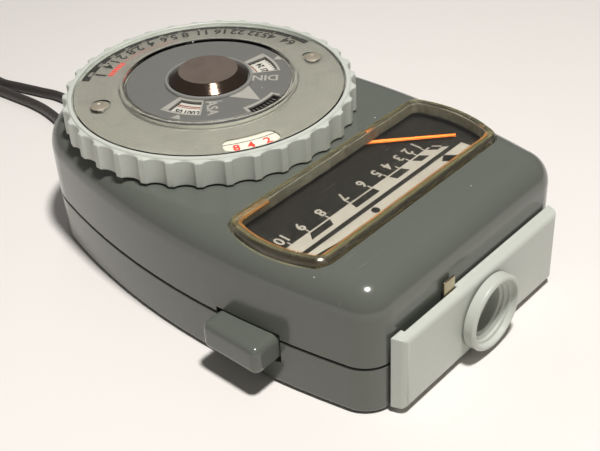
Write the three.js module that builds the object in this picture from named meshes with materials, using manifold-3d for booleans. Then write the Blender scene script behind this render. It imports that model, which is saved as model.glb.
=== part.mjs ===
// Handheld light meter: needle window, calculator dial, sensor tube, push button, wrist cord.
// Millimetres. Origin on the dial's axis, in the plane the meter stands on.
// +Z is up, the sensor looks along -Y, and the push button is on the -X side.
import * as THREE from 'three';
import { mergeVertices } from 'three/addons/utils/BufferGeometryUtils.js';
import Module from 'manifold-3d';

const wasm = await Module();
wasm.setup();

// ---------- driving dimensions ----------
const GAP = 0.3;                       // air kept between neighbouring pieces
const body = {
  top: 22.3, seam: 8.8, seamGap: 0.3, wall: 1.8, roof: 1.5, floor: 1.8,
  topRadius: 4.8, bottomRadius: 1.0,
  frontY: -54.6, frontHalf: 19.07, frontRadius: 5.5,
  sideRadius: 133.4, sideHalf: 27.65, sideY: -21.2,
  rearRadius: 16, rearStart: 15.66 * Math.PI / 180, rearCrown: 40,
};
const dial = {
  radius: 25, bottom: 22.6, top: 27.2, web: 1.0, bore: 23.3, lip: 24.05,
  flutes: 34, fluteDepth: 0.85, fluteShare: 0.74,
  discRadius: 22.9, centreRadius: 14.1, wellRadius: 14.45, hubHole: 2.6,
};
const spindleRadius = 2.0;
const spindleHole = spindleRadius + GAP;
const bush = { shank: 4.0, waist: 6.0, flange: 8.0, bottom: 17.0 };
const rivet = { orbit: 19.1, angles: [154, -26.4], shank: 0.6, head: 1.1, recess: 2.1 };
const windowFrame = {
  rearY: -25.7, frontY: -44.2, rearHalf: 22.8, midHalf: 24.4, frontHalf: 21.7,
  corner: 2.0, wall: 2.0, bottom: 21.7, top: 24.0, edge: 0.7, skin: 1.4,
};
const scale = { top: 19.5, thick: 0.5, half: 21.8, frontY: -43.6, rearY: -24.4 };
const pivot = { x: 0, y: -17.2 };      // axis of the needle
const needle = { length: 28.3, restAngle: -43.4, step: 5.5, low: 16.6, high: 20.0, thick: 0.25 };
const plate = { frontY: -57.2, backY: -54.9, z0: 1.0, z1: 14.26, front: 19.86, back: 20.67 };
const sensor = { z: 7.32, flange: 6.32, frontY: -59.4, neck: 4.5, backY: -46.5 };
const slider = { x0: -8.4, x1: -5.8, travel: 9.5, top: 16.5, pinZ: 11.8, pinRadius: 0.7 };
const button = { x: -31.4, y0: -39.3, y1: -26.5, z0: 4.6, z1: 9.8, flangeX: -24.2, travel: 1.8 };
const cell = { x: 11, y: 12, radius: 7.8, height: 6.0, well: 8.3, wellWall: 1.5, cover: 8.7 };
const board = { x0: -12, x1: 20, y0: -44.5, y1: -26.5, z: 3.2, thick: 1.2 };
const zeroScrew = { radius: 2.0, top: 2.6 };
const screws = [[-19.4, -47.4], [19.4, -47.4], [-13, 15.5]];
const screw = { head: 1.9, headTop: 1.5, shank: 0.9, boss: 2.4, post: 2.4, length: 13 };
const cordRadius = 1.0;
const cordEnds = { x: 2.6, y: 28.7, z: 3.4 };

// ---------- colours ----------
const paint = (color, roughness, metalness = 0) =>
  () => new THREE.MeshStandardMaterial({ color, roughness, metalness });
const housingGrey = paint(0x565d58, 0.35);
const paleGrey = paint(0x9fa8a0, 0.42);
const clear = paint(0xd9dccb, 0.08);
const steel = paint(0x9b9c9c, 0.3, 1);
const brass = paint(0xb08d4a, 0.35, 1);
const silver = paint(0x8f908e, 0.45, 0.4);
const charcoal = paint(0x2f3130, 0.4);
const black = paint(0x111213, 0.5);
const white = paint(0xd8d8d2, 0.6);
const copper = paint(0xa8562d, 0.4, 0.8);
const orange = paint(0xe0501a, 0.5);
const green = paint(0x1f5a35, 0.5);
const blue = paint(0x28509a, 0.5);
const red = paint(0xa02818, 0.5);
const cordBrown = paint(0x231c19, 0.85);

// ---------- small helpers ----------
const radians = (degrees) => degrees * Math.PI / 180;

// A closed geometry from rings of equally many points, with flat caps.
function loft(rings) {
  const count = rings[0].length;
  const vertices = rings.flat();
  const faces = [];
  for (let r = 0; r + 1 < rings.length; r++) {
    for (let i = 0; i < count; i++) {
      const a = r * count + i;
      const b = r * count + (i + 1) % count;
      faces.push(a, b, b + count, a, b + count, a + count);
    }
  }
  const last = (rings.length - 1) * count;
  for (let i = 1; i + 1 < count; i++) {
    faces.push(0, i + 1, i, last, last + i, last + i + 1);
  }
  const geometry = new THREE.BufferGeometry();
  geometry.setAttribute('position', new THREE.Float32BufferAttribute(vertices.flat(), 3));
  geometry.setIndex(faces);
  geometry.computeVertexNormals();
  return geometry;
}

function solid(geometry) {
  const bare = geometry.clone();
  bare.deleteAttribute('normal');
  bare.deleteAttribute('uv');
  const merged = mergeVertices(bare, 1e-4);
  const index = merged.index.array;
  const kept = [];
  for (let i = 0; i < index.length; i += 3) {
    const [a, b, c] = [index[i], index[i + 1], index[i + 2]];
    if (a !== b && b !== c && c !== a) kept.push(a, b, c);
  }
  return new wasm.Manifold(new wasm.Mesh({
    numProp: 3,
    vertProperties: new Float32Array(merged.attributes.position.array),
    triVerts: new Uint32Array(kept),
  }));
}

function geometryOf(manifold) {
  const mesh = manifold.getMesh();
  const geometry = new THREE.BufferGeometry();
  geometry.setAttribute('position', new THREE.BufferAttribute(mesh.vertProperties, 3));
  geometry.setIndex(new THREE.BufferAttribute(mesh.triVerts, 1));
  geometry.computeVertexNormals();
  return geometry;
}

// Joins and cuts: carve(base, { add: [...], cut: [...] }) on geometries.
function carve(base, { add = [], cut = [] }) {
  let result = solid(base);
  for (const extra of add) result = result.add(solid(extra));
  for (const tool of cut) result = result.subtract(solid(tool));
  return geometryOf(result);
}

function block([x0, x1], [y0, y1], [z0, z1]) {
  const geometry = new THREE.BoxGeometry(x1 - x0, y1 - y0, z1 - z0);
  return geometry.translate((x0 + x1) / 2, (y0 + y1) / 2, (z0 + z1) / 2);
}

function rod(radius, z0, z1, x = 0, y = 0, sides = 24) {
  const geometry = new THREE.CylinderGeometry(radius, radius, z1 - z0, sides);
  return geometry.rotateX(Math.PI / 2).translate(x, y, (z0 + z1) / 2);
}

function rodAlongY(radius, y0, y1, x, z, sides = 24) {
  const geometry = new THREE.CylinderGeometry(radius, radius, y1 - y0, sides);
  return geometry.translate(x, (y0 + y1) / 2, z);
}

function rodAlongX(radius, x0, x1, y, z, sides = 16) {
  const geometry = new THREE.CylinderGeometry(radius, radius, x1 - x0, sides);
  return geometry.rotateZ(Math.PI / 2).translate((x0 + x1) / 2, y, z);
}

// A turned piece about +Z from [radius, height] pairs, counter-clockwise.
function turned(profile, x = 0, y = 0, sides = 24) {
  const points = profile.map(([r, z]) => new THREE.Vector2(r, z));
  return new THREE.LatheGeometry(points, sides).rotateX(Math.PI / 2).translate(x, y, 0);
}

// A flat ring, closed on itself.
const washer = (inner, outer, z0, z1, x = 0, y = 0, sides = 24) =>
  turned([[inner, z0], [outer, z0], [outer, z1], [inner, z1], [inner, z0]], x, y, sides);

// A plate of the given outline, from z0 to z1.
function slab(points, z0, z1) {
  const shape = new THREE.Shape(points.map(([x, y]) => new THREE.Vector2(x, y)));
  const geometry = new THREE.ExtrudeGeometry(shape, { depth: z1 - z0, bevelEnabled: false });
  return geometry.translate(0, 0, z0);
}

function wire(radius, points, steps, sides = 8) {
  const section = new THREE.Shape();
  for (let i = 0; i < sides; i++) {
    const a = 2 * Math.PI * i / sides;
    const [u, v] = [radius * Math.cos(a), radius * Math.sin(a)];
    if (i === 0) section.moveTo(u, v);
    else section.lineTo(u, v);
  }
  const path = new THREE.CatmullRomCurve3(points.map((p) => new THREE.Vector3(...p)));
  return new THREE.ExtrudeGeometry(section, { steps, extrudePath: path, bevelEnabled: false });
}

// Sector of a ring between two angles in degrees.
function sector(inner, outer, from, to, steps) {
  const arc = (radius, a, b) => Array.from({ length: steps + 1 }, (_, i) => {
    const angle = radians(a + (b - a) * i / steps);
    return [radius * Math.cos(angle), radius * Math.sin(angle)];
  });
  return [...arc(outer, from, to), ...arc(inner, to, from)];
}

const light_meter = new THREE.Group();
function piece(name, geometry, material) {
  const mesh = new THREE.Mesh(geometry, material());
  mesh.name = name;
  light_meter.add(mesh);
  return mesh;
}

// ---------- housing outline: tangent arcs, mirrored left and right ----------
const arcEnds = (() => {
  const side = [body.sideHalf - body.sideRadius, body.sideY];
  const front = [body.frontHalf, body.frontY + body.frontRadius];
  const reach = body.sideRadius - body.rearRadius;
  const rear = [side[0] + reach * Math.cos(body.rearStart), side[1] + reach * Math.sin(body.rearStart)];
  const crownReach = body.rearCrown - body.rearRadius;
  const crown = [0, rear[1] - Math.sqrt(crownReach ** 2 - rear[0] ** 2)];
  const frontTurn = Math.atan2(front[1] - side[1], front[0] - side[0]);
  const crownTurn = Math.atan2(rear[1] - crown[1], rear[0]);
  return [
    { centre: front, radius: body.frontRadius, from: -Math.PI / 2, to: frontTurn, steps: 6 },
    { centre: side, radius: body.sideRadius, from: frontTurn, to: body.rearStart, steps: 6 },
    { centre: rear, radius: body.rearRadius, from: body.rearStart, to: crownTurn, steps: 5 },
    { centre: crown, radius: body.rearCrown, from: crownTurn, to: Math.PI / 2, steps: 2 },
  ];
})();

// Outline of the housing at height z, moved inwards by inset.
function outline(inset, z) {
  const right = [];
  for (const { centre, radius, from, to, steps } of arcEnds) {
    for (let i = right.length ? 1 : 0; i <= steps; i++) {
      const angle = from + (to - from) * i / steps;
      right.push([
        centre[0] + (radius - inset) * Math.cos(angle),
        centre[1] + (radius - inset) * Math.sin(angle), z,
      ]);
    }
  }
  const left = right.slice(0, -1).reverse().map(([x, y]) => [-x, y, z]);
  return [...right, ...left];
}

// Rings that round an edge: starts at inset `start` and gains `radius` of inset.
function roundedRings(start, radius, z, direction, steps) {
  return Array.from({ length: steps + 1 }, (_, i) => {
    const angle = Math.PI / 2 * i / steps;
    return outline(start + radius * (1 - Math.cos(angle)), z + direction * radius * Math.sin(angle));
  });
}

const seamTop = body.seam + body.seamGap / 2;
const seamBottom = body.seam - body.seamGap / 2;
const roofUnder = body.top - body.roof;

// ---------- openings that both shells share ----------
const neckHole = rodAlongY(sensor.neck + GAP, -56, -50, 0, sensor.z, 24);
const buttonHole = block([-32, -22], [button.y0 - GAP, button.y1 + GAP], [button.z0 - GAP, button.z1 + GAP]);

// ---------- meter window outline ----------
function windowOutline(inset, z, sideSteps = 6, cornerSteps = 4) {
  const w = windowFrame;
  const radius = Math.max(w.corner - inset, 0.4);
  const midY = (w.rearY + w.frontY) / 2;
  const side = (t) => {
    const y = w.frontY + (w.rearY - w.frontY) * t;
    const chord = w.frontHalf + (w.rearHalf - w.frontHalf) * t;
    const bow = w.midHalf - (w.frontHalf + w.rearHalf) / 2;
    return [chord + bow * (1 - ((y - midY) / (w.rearY - midY)) ** 2) - inset, y];
  };
  const right = [];
  const corner = (x, y, from) => {
    for (let i = 0; i <= cornerSteps; i++) {
      const a = radians(from + 90 * i / cornerSteps);
      right.push([x + radius * Math.cos(a), y + radius * Math.sin(a), z]);
    }
  };
  const front = w.frontY + inset;
  const rear = w.rearY - inset;
  const tuck = radius / (w.rearY - w.frontY);
  const shift = inset / (w.rearY - w.frontY);
  const first = side(shift + tuck);
  const last = side(1 - shift - tuck);
  corner(first[0] - radius, front + radius, -90);
  for (let i = 1; i < sideSteps; i++) {
    const t = shift + tuck + (1 - 2 * (shift + tuck)) * i / sideSteps;
    right.push([...side(t), z]);
  }
  corner(last[0] - radius, rear - radius, 0);
  const left = right.slice().reverse().map(([x, y]) => [-x, y, z]);
  return [...right, ...left];
}

function upperHousing() {
  const outer = loft([outline(0, seamTop), ...roundedRings(0, body.topRadius,
    body.top - body.topRadius, 1, 5)]);
  const innerRadius = body.topRadius - body.roof;
  const hollow = loft([outline(body.wall, seamTop - 1), ...roundedRings(body.wall, innerRadius,
    roofUnder - innerRadius, 1, 3)]);
  const shell = carve(outer, { cut: [hollow] });
  const bosses = screws.map(([x, y]) => rod(screw.boss, seamTop, body.top - 1, x, y, 16));
  const bossHoles = screws.map(([x, y]) => rod(screw.shank + GAP, seamTop - 1, 15.5, x, y, 12));
  const w = windowFrame;
  return carve(shell, {
    add: bosses.map((boss) => geometryOf(solid(boss).intersect(solid(outer)))),
    cut: [
      ...bossHoles, neckHole, buttonHole,
      loft([windowOutline(w.wall, 18), windowOutline(w.wall, 24)]),
      loft([windowOutline(-GAP, w.bottom - GAP), windowOutline(-GAP, 24)]),
      rod(bush.shank + GAP, 18, 24, 0, 0, 32),
      block([slider.x0 - slider.travel - 0.8, slider.x1 + 0.5], [-56, -50],
        [slider.pinZ - slider.pinRadius - GAP, slider.pinZ + slider.pinRadius + GAP]),
    ],
  });
}

function lowerHousing() {
  const outer = loft([...roundedRings(0, body.bottomRadius, body.bottomRadius, -1, 3).reverse(),
    outline(0, seamBottom)]);
  const hollow = loft([outline(body.wall + 0.6, body.floor), outline(body.wall, body.floor + 0.6),
    outline(body.wall, seamBottom + 1)]);
  const shell = carve(outer, { cut: [hollow] });
  const postTop = seamBottom - 0.2;
  const posts = screws.map(([x, y]) => rod(screw.post, 1, postTop, x, y, 16));
  const wellTop = postTop;
  const rests = [-7.6, 7.6].map((x) => rod(1.6, 1, 4.3, pivot.x + x, pivot.y, 16));
  const boardRests = [[-9, -41.5], [17, -29.5]].map(([x, y]) => rod(1.8, 1, board.z - GAP, x, y, 16));
  return carve(shell, {
    add: [
      ...posts.map((post) => geometryOf(solid(post).intersect(solid(outer)))), ...rests, ...boardRests,
      rod(cell.well + cell.wellWall, 1, wellTop, cell.x, cell.y, 32),
      rod(zeroScrew.radius + 1.6, 1, zeroScrew.top, pivot.x, pivot.y, 24),
    ],
    cut: [
      ...screws.map(([x, y]) => rod(screw.head + GAP, -1, screw.headTop + GAP, x, y, 16)),
      ...screws.map(([x, y]) => rod(screw.shank + GAP, -1, 10, x, y, 12)),
      rod(cell.cover + GAP, -1, body.floor, cell.x, cell.y, 32),
      rod(cell.well, 1, 10, cell.x, cell.y, 32),
      rod(zeroScrew.radius + GAP, -1, 4, pivot.x, pivot.y, 24),
      neckHole, buttonHole,
      block([-cordEnds.x - 2.1, cordEnds.x + 2.1], [24, 30], [1.5, 5.9]),
      ...[-14, 14].map((x) => rodAlongY(1.1, -56, -50, x, 6.8, 12)),
    ],
  });
}

piece('upper_housing', upperHousing(), housingGrey);
piece('lower_housing', lowerHousing(), housingGrey);
screws.forEach(([x, y], i) => {
  const shape = turned([[0, 0.3], [screw.head, 0.3], [screw.head, screw.headTop],
    [screw.shank, screw.headTop], [screw.shank, screw.length], [0, screw.length]], x, y, 16);
  const slot = block([x - 3, x + 3], [y - 0.25, y + 0.25], [0, 0.9]);
  piece(`housing_screw_${i + 1}`, carve(shape, { cut: [slot] }), steel);
});

// ---------- meter window ----------
{
  const w = windowFrame;
  const outer = loft([
    windowOutline(0, w.bottom), windowOutline(0, w.top - w.edge),
    windowOutline(w.edge * 0.3, w.top - w.edge * 0.3), windowOutline(w.edge, w.top)]);
  const hollow = loft([windowOutline(w.wall, w.bottom - 1), windowOutline(w.wall, w.top - w.skin)]);
  piece('meter_window', carve(outer, { cut: [hollow] }), clear);
}

// ---------- front plate, sensor and range slider ----------
{
  const { frontY, backY, z0, z1, front, back } = plate;
  const section = (y, half, inset) => {
    const [lo, hi, r] = [z0 + inset, z1 - inset, 0.7];
    const ring = [];
    const corners = [[half - inset, hi, 0], [-half + inset, hi, 90], [-half + inset, lo, 180],
      [half - inset, lo, 270]];
    for (const [x, z, from] of corners) {
      const [sx, sz] = [Math.sign(x), z === hi ? 1 : -1];
      for (let i = 0; i <= 3; i++) {
        const a = radians(from + 30 * i);
        ring.push([x - sx * r + r * Math.cos(a), y, z - sz * r + r * Math.sin(a)]);
      }
    }
    return ring;
  };
  const shape = loft([section(backY, back, 0), section(frontY + 0.6, front + 0.2, 0),
    section(frontY + 0.18, front + 0.05, 0.2), section(frontY, front, 0.6)]);
  piece('front_plate', carve(shape, {
    cut: [
      rodAlongY(sensor.neck + GAP, -60, -50, 0, sensor.z, 24),
      block([slider.x0 - slider.travel - GAP, slider.x1 + GAP], [-56.3, -50], [10.4, 20]),
      ...[-14, 14].map((x) => rodAlongY(1.1, -56.3, -50, x, 6.8, 12)),
    ],
  }), paleGrey);
}
for (const [side, x] of [['left', -14], ['right', 14]]) {
  const shank = rodAlongY(0.8, -56.0, -52.0, x, 6.8, 12);
  piece(`plate_screw_${side}`, carve(shank, { add: [rodAlongY(1.7, -52.5, -51.6, x, 6.8, 16)] }), steel);
}
{
  const { z, flange, frontY, neck, backY } = sensor;
  const shape = turned([[5.65, 0], [flange - 0.25, 0], [flange, 0.25], [flange, 1.9], [neck, 1.9],
    [neck, backY - frontY], [3.9, backY - frontY], [3.9, 5.0], [3.2, 5.0], [3.2, 4.0], [3.9, 4.0],
    [3.9, 2.1], [4.9, 1.4], [4.9, 1.0], [5.65, 1.0], [5.65, 0]], 0, 0, 28);
  piece('sensor_tube', shape.rotateX(-Math.PI / 2).translate(0, frontY, z), paleGrey);
  piece('sensor_clip', carve(rodAlongY(neck + GAP + 0.6, -52.0, -51.3, 0, z, 24),
    { cut: [rodAlongY(neck + GAP, -60, -50, 0, z, 24)] }), steel);
  piece('cell_window', rodAlongY(3.6, -54.1, -53.4, 0, z, 32), clear);
  const leads = [-1.3, 1.3].map((x) => rodAlongY(0.3, -49, -44.2, x, z, 8));
  piece('photocell', carve(rodAlongY(3.6, -51.0, -48.6, 0, z, 32), { add: leads }), red);
}
{
  const { x0, x1, top, pinZ, pinRadius } = slider;
  const mid = (x0 + x1) / 2;
  piece('range_slider', carve(block([x0, x1], [-56.0, -55.1], [10.8, top]),
    { add: [rodAlongY(pinRadius, -55.6, -50.6, mid, pinZ, 12)] }), steel);
  piece('range_switch', block([-16.8, -5.4], [-50.2, -48.4], [10.0, 13.6]), black);
}

// ---------- push button with its spring and contacts ----------
{
  const b = button;
  const soft = 0.9;
  const face = (x, inset) => [
    [x, b.y0 + inset, b.z0 + inset], [x, b.y0 + inset, b.z1 - inset],
    [x, b.y1 - inset, b.z1 - inset], [x, b.y1 - inset, b.z0 + inset]];
  const cap = loft([face(b.flangeX + 0.5, 0), face(b.x + soft, 0), face(b.x + 0.25, soft * 0.35),
    face(b.x, soft)]);
  const flange = block([b.flangeX, b.flangeX + 1.0], [b.y0 - 1.2, b.y1 + 1.2], [b.z0 - 1.2, b.z1 + 1.0]);
  const nose = rodAlongX(1.2, b.flangeX, -18.2, (b.y0 + b.y1) / 2, (b.z0 + b.z1) / 2);
  piece('push_button', carve(cap, { add: [flange, nose] }), housingGrey);
}
{
  const turns = 3.5;
  const [x0, x1] = [button.flangeX + 1.5, -15.6];
  const [midY, midZ] = [(button.y0 + button.y1) / 2, (button.z0 + button.z1) / 2];
  const steps = turns * 10;
  const points = Array.from({ length: steps + 1 }, (_, i) => {
    const a = 2 * Math.PI * i / 10;
    return [x0 + (x1 - x0) * i / steps, midY + 2.1 * Math.cos(a), midZ + 2.1 * Math.sin(a)];
  });
  piece('button_spring', wire(0.25, points, steps, 5), steel);
  piece('switch_block', block([-15.2, -13.0], [midY - 3.6, midY + 3.6], [4.7, 11.0]), black);
  piece('switch_blade_front', block([-15.9, -15.2 - GAP], [midY - 3.4, midY - 2.8], [5.2, 10.2]), brass);
  piece('switch_blade_rear', block([-15.9, -15.2 - GAP], [midY + 2.8, midY + 3.4], [5.2, 10.2]), brass);
}

// ---------- circuit board ----------
{
  const { x0, x1, y0, y1, z, thick } = board;
  const up = z + thick;
  piece('circuit_board', block([x0, x1], [y0, y1], [z, up]), green);
  [['trimmer_low', 2], ['trimmer_high', 11]].forEach(([name, x]) => {
    const base = rod(3.2, up + GAP, up + 3.6, x, -32, 24);
    piece(name, carve(base, { cut: [block([x - 2, x + 2], [-32.3, -31.7], [up + 3.0, up + 4])] }), blue);
  });
  const wireZ = up + 1.9;
  piece('range_resistor', carve(rodAlongX(1.2, -2, 5, -39.5, wireZ),
    { add: [rodAlongX(0.3, -4.5, 7.5, -39.5, wireZ, 8)] }), red);
}

// ---------- battery compartment ----------
{
  const { x, y, radius, height, cover } = cell;
  const disc = turned([[0, 0.2], [cover - 0.3, 0.2], [cover, 0.5], [cover, 1.5], [0, 1.5]], x, y, 32);
  piece('battery_cover', carve(disc, { cut: [block([x - 4.5, x + 4.5], [y - 0.8, y + 0.8], [0, 0.9])] }),
    housingGrey);
  piece('battery_contact_lower', washer(2.5, 7.2, 1.85, 2.15, x, y), brass);
  const can = [[0, 0], [5.6, 0], [5.6, 0.9], [radius, 1.2], [radius, height - 0.3],
    [radius - 0.3, height], [0, height]].map(([r, h]) => [r, h + 2.5]);
  piece('battery', turned(can, x, y), steel);
  const strap = block([x - 1.6, x + 1.6], [y - 15, y + 1], [8.85, 9.15]);
  const foot = block([x - 1.6, x + 1.6], [y - 15, y - 14.7], [4.2, 9.0]);
  piece('battery_contact_upper', carve(strap, { add: [foot, rod(3.4, 8.85, 9.15, x, y, 24)] }), brass);
  [['battery_lead_plus', 0, red], ['battery_lead_minus', 2.2, black]].forEach(([name, shift, colour]) => {
    const path = [[12, -4.4, 2.6], [16.4, -9, 2.6], [18.2, -16, 2.6], [17, -22, 2.8], [16.2, -25.9, 3.6]];
    piece(name, wire(0.45, path.map(([px, py, pz]) => [px + shift, py, pz]), 10, 6), colour);
  });
}

// ---------- meter movement ----------
{
  const { x: px, y: py } = pivot;
  const swing = radians(needle.restAngle);
  const [core, coilHalf] = [4.4, 5.6];
  piece('movement_core', rod(core, 8.4, 13.6, px, py, 32), steel);
  const arms = [1, -1].map((s) => block(s > 0 ? [px + core + GAP, px + 7.4] : [px - 7.4, px - core - GAP],
    [py - 1.2, py + 1.2], [9.4, 12.6]));
  piece('movement_yoke', carve(washer(6.6, 8.8, 8.0, 14.0, px, py), { add: arms }), steel);
  const bridge = (z, from, to) => ({
    strap: block([px - 8.8, px + 8.8], [py - 2.3, py + 2.3], [z, z + 0.8]),
    posts: [-7.6, 7.6].map((dx) => rod(1.1, from, to, px + dx, py, 12)),
  });
  const hole = (z) => rod(1.2 + GAP, z - 1, z + 2, px, py, 20);
  const upper = bridge(17.6, 14.3, 18.0);
  piece('upper_bridge', carve(upper.strap, { add: upper.posts, cut: [hole(17.6)] }), brass);
  const lower = bridge(4.6, 5.0, 7.7);
  piece('lower_bridge', carve(lower.strap, { add: lower.posts, cut: [hole(4.6)] }), brass);
  piece('upper_jewel_screw', carve(rod(1.2, 17.4, 19.0, px, py, 20),
    { cut: [rod(0.65, 17, 18.3, px, py, 12), block([px - 2, px + 2], [py - 0.2, py + 0.2], [18.6, 20])] }),
    brass);
  piece('lower_jewel_screw', carve(rod(1.2, 3.7, 5.6, px, py, 20),
    { cut: [rod(0.65, 4.8, 6, px, py, 12)] }), brass);
  const loop = carve(block([-coilHalf - 0.6, coilHalf + 0.6], [-0.9, 0.9], [7.2, 14.9]),
    { cut: [block([-coilHalf + 0.5, coilHalf - 0.5], [-2, 2], [8.0, 14.1])] });
  piece('moving_coil', loop.rotateZ(swing).translate(px, py, 0), copper);
  piece('upper_staff', rod(0.35, 15.2, 18.0, px, py, 10), steel);
  piece('lower_staff', rod(0.35, 5.1, 6.9, px, py, 10), steel);
  const spiral = (z) => {
    const points = Array.from({ length: 21 }, (_, i) => {
      const a = swing + 2 * Math.PI * i / 10;
      const r = 1.1 + 2.2 * i / 20;
      return [px + r * Math.cos(a), py + r * Math.sin(a), z];
    });
    return wire(0.12, points, 20, 4);
  };
  piece('upper_hairspring', spiral(15.8), brass);
  piece('lower_hairspring', spiral(6.3), brass);
  const { length, step, low, high, thick } = needle;
  const parts = [
    block([0.2, step + 0.6], [-0.4, 0.4], [low, low + thick + 0.1]),
    block([step, step + 0.6], [-0.4, 0.4], [low, high + thick]),
    slab([[step, -0.45], [length, -0.32], [length, 0.32], [step, 0.45]], high, high + thick),
    block([-4.2, -0.2], [-0.3, 0.3], [low, low + thick]),
    rod(0.8, low, low + 0.5, -3.8, 0, 12),
  ];
  const pointer = carve(rod(1.1, low, low + 0.4, 0, 0, 20), { add: parts, cut: [rod(0.65, 16, 18, 0, 0, 12)] });
  piece('needle', pointer.rotateZ(swing).translate(px, py, 0), orange);
  piece('zero_adjust_screw', carve(turned([[0, 0.3], [zeroScrew.radius, 0.3], [zeroScrew.radius, 2.2],
    [0.8, 2.2], [0.8, 3.4], [0, 3.4]], px, py, 24),
  { cut: [block([px - 3, px + 3], [py - 0.3, py + 0.3], [0, 0.9])] }), brass);
}
{
  const { half, frontY, rearY, top, thick } = scale;
  const r = 1.5;
  const outlinePoints = [[-half + r, frontY], [half - r, frontY], [half, frontY + r], [half, rearY - r],
    [half - r, rearY], [-half + r, rearY], [-half, rearY - r], [-half, frontY + r]];
  piece('scale_plate', slab(outlinePoints, top - thick, top), white);
}

// ---------- calculator dial ----------
function flutedOutline() {
  const points = [];
  const pitch = 360 / dial.flutes;
  const steps = 4;
  for (let f = 0; f < dial.flutes; f++) {
    for (let i = 0; i <= steps; i++) {
      const t = i / steps;
      const angle = radians(f * pitch + pitch * dial.fluteShare * t);
      const radius = dial.radius - dial.fluteDepth * Math.sin(Math.PI * t);
      points.push([radius * Math.cos(angle), radius * Math.sin(angle)]);
    }
  }
  return points;
}
{
  const d = dial;
  const rim = slab(flutedOutline(), d.bottom, d.top);
  const cup = turned([[0, d.bottom + d.web], [d.bore, d.bottom + d.web], [d.bore, d.top + 1],
    [0, d.top + 1]], 0, 0, 48);
  const lip = washer(d.bore, d.lip, d.top - 0.1, d.top + 0.25, 0, 0, 48);
  piece('dial_ring', carve(rim, { add: [lip], cut: [cup, rod(bush.waist + GAP, 20, 26, 0, 0, 32)] }), paleGrey);
}
{
  const b = bush;
  const z = dial.bottom;
  piece('dial_bush', turned([[spindleHole, b.bottom], [b.shank, b.bottom], [b.shank, z], [b.waist, z],
    [b.waist, z + 1.3], [b.flange, z + 1.3], [b.flange, z + 1.6], [spindleHole, z + 1.6],
    [spindleHole, b.bottom]]), brass);
  piece('bush_nut', carve(rod(6.4, 18.2, 20.4, 0, 0, 6), { cut: [rod(b.shank + GAP, 17, 22, 0, 0, 32)] }), brass);
}
const disc = dial.discRadius;
piece('shutter_scale_disc', washer(spindleHole, disc, 24.5, 25.0, 0, 0, 48), black);
{
  const plateShape = washer(dial.hubHole, 23.0, 25.3, 25.7, 0, 0, 48);
  const opening = slab(sector(21.2, 24, -5, 121.5, 16), 25, 26);
  const reading = slab(sector(17.4, 21.0, -133, -104, 6), 25, 26);
  const holes = rivet.angles.map((a) => rod(rivet.shank + GAP, 25, 26,
    rivet.orbit * Math.cos(radians(a)), rivet.orbit * Math.sin(radians(a)), 12));
  piece('aperture_plate', carve(plateShape, { cut: [opening, reading, ...holes] }), silver);
}
piece('film_speed_scale', washer(dial.hubHole, dial.centreRadius, 26.0, 26.4, 0, 0, 40), white);
{
  const windows = [[8.0, 11.8, -169, -143], [8.0, 11.8, -37, -11], [12.7, 15, -105, -78]]
    .map(([inner, outer, from, to]) => slab(sector(inner, outer, from, to, 5), 27, 29));
  piece('film_speed_disc', carve(washer(spindleHole, dial.centreRadius, 27.2, 28.2, 0, 0, 40),
    { cut: windows }), charcoal);
}
{
  const cover = turned([[dial.wellRadius, 26.0], [23.0, 26.0], [23.0, 27.4], [19, 27.9], [15.0, 28.2],
    [dial.wellRadius, 27.9], [dial.wellRadius, 26.0]], 0, 0, 48);
  const holes = rivet.angles.flatMap((a) => {
    const [x, y] = [rivet.orbit * Math.cos(radians(a)), rivet.orbit * Math.sin(radians(a))];
    return [rod(rivet.shank + GAP, 25, 29, x, y, 12), rod(rivet.recess, 27.4, 29, x, y, 24)];
  });
  piece('dial_cover', carve(cover, { cut: holes }), clear);
  rivet.angles.forEach((a, i) => {
    const [x, y] = [rivet.orbit * Math.cos(radians(a)), rivet.orbit * Math.sin(radians(a))];
    piece(`cover_rivet_${i + 1}`, turned([[0, 25.35], [rivet.shank, 25.35], [rivet.shank, 27.7],
      [rivet.head, 27.7], [rivet.head, 27.9], [rivet.head * 0.7, 28.2], [0, 28.3]], x, y, 16), steel);
  });
}
piece('dial_spindle', turned([[0, 14.6], [spindleRadius, 14.6], [spindleRadius, 29.0], [0, 29.0]], 0, 0, 24),
  steel);
piece('hub_cap', carve(turned([[0, 28.5], [6.74, 28.5], [6.74, 29.0], [6.4, 29.3], [5.7, 29.9], [5.3, 30.1],
  [0, 30.1]], 0, 0, 32), { cut: [rod(spindleHole, 28, 29.3, 0, 0, 24)] }), charcoal);
piece('wave_washer', washer(spindleHole + 0.2, 3.7, 16.3, 16.6, 0, 0, 24), steel);
piece('spindle_clip', washer(spindleHole, 3.6, 15.4, 16.0, 0, 0, 24), steel);

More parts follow.
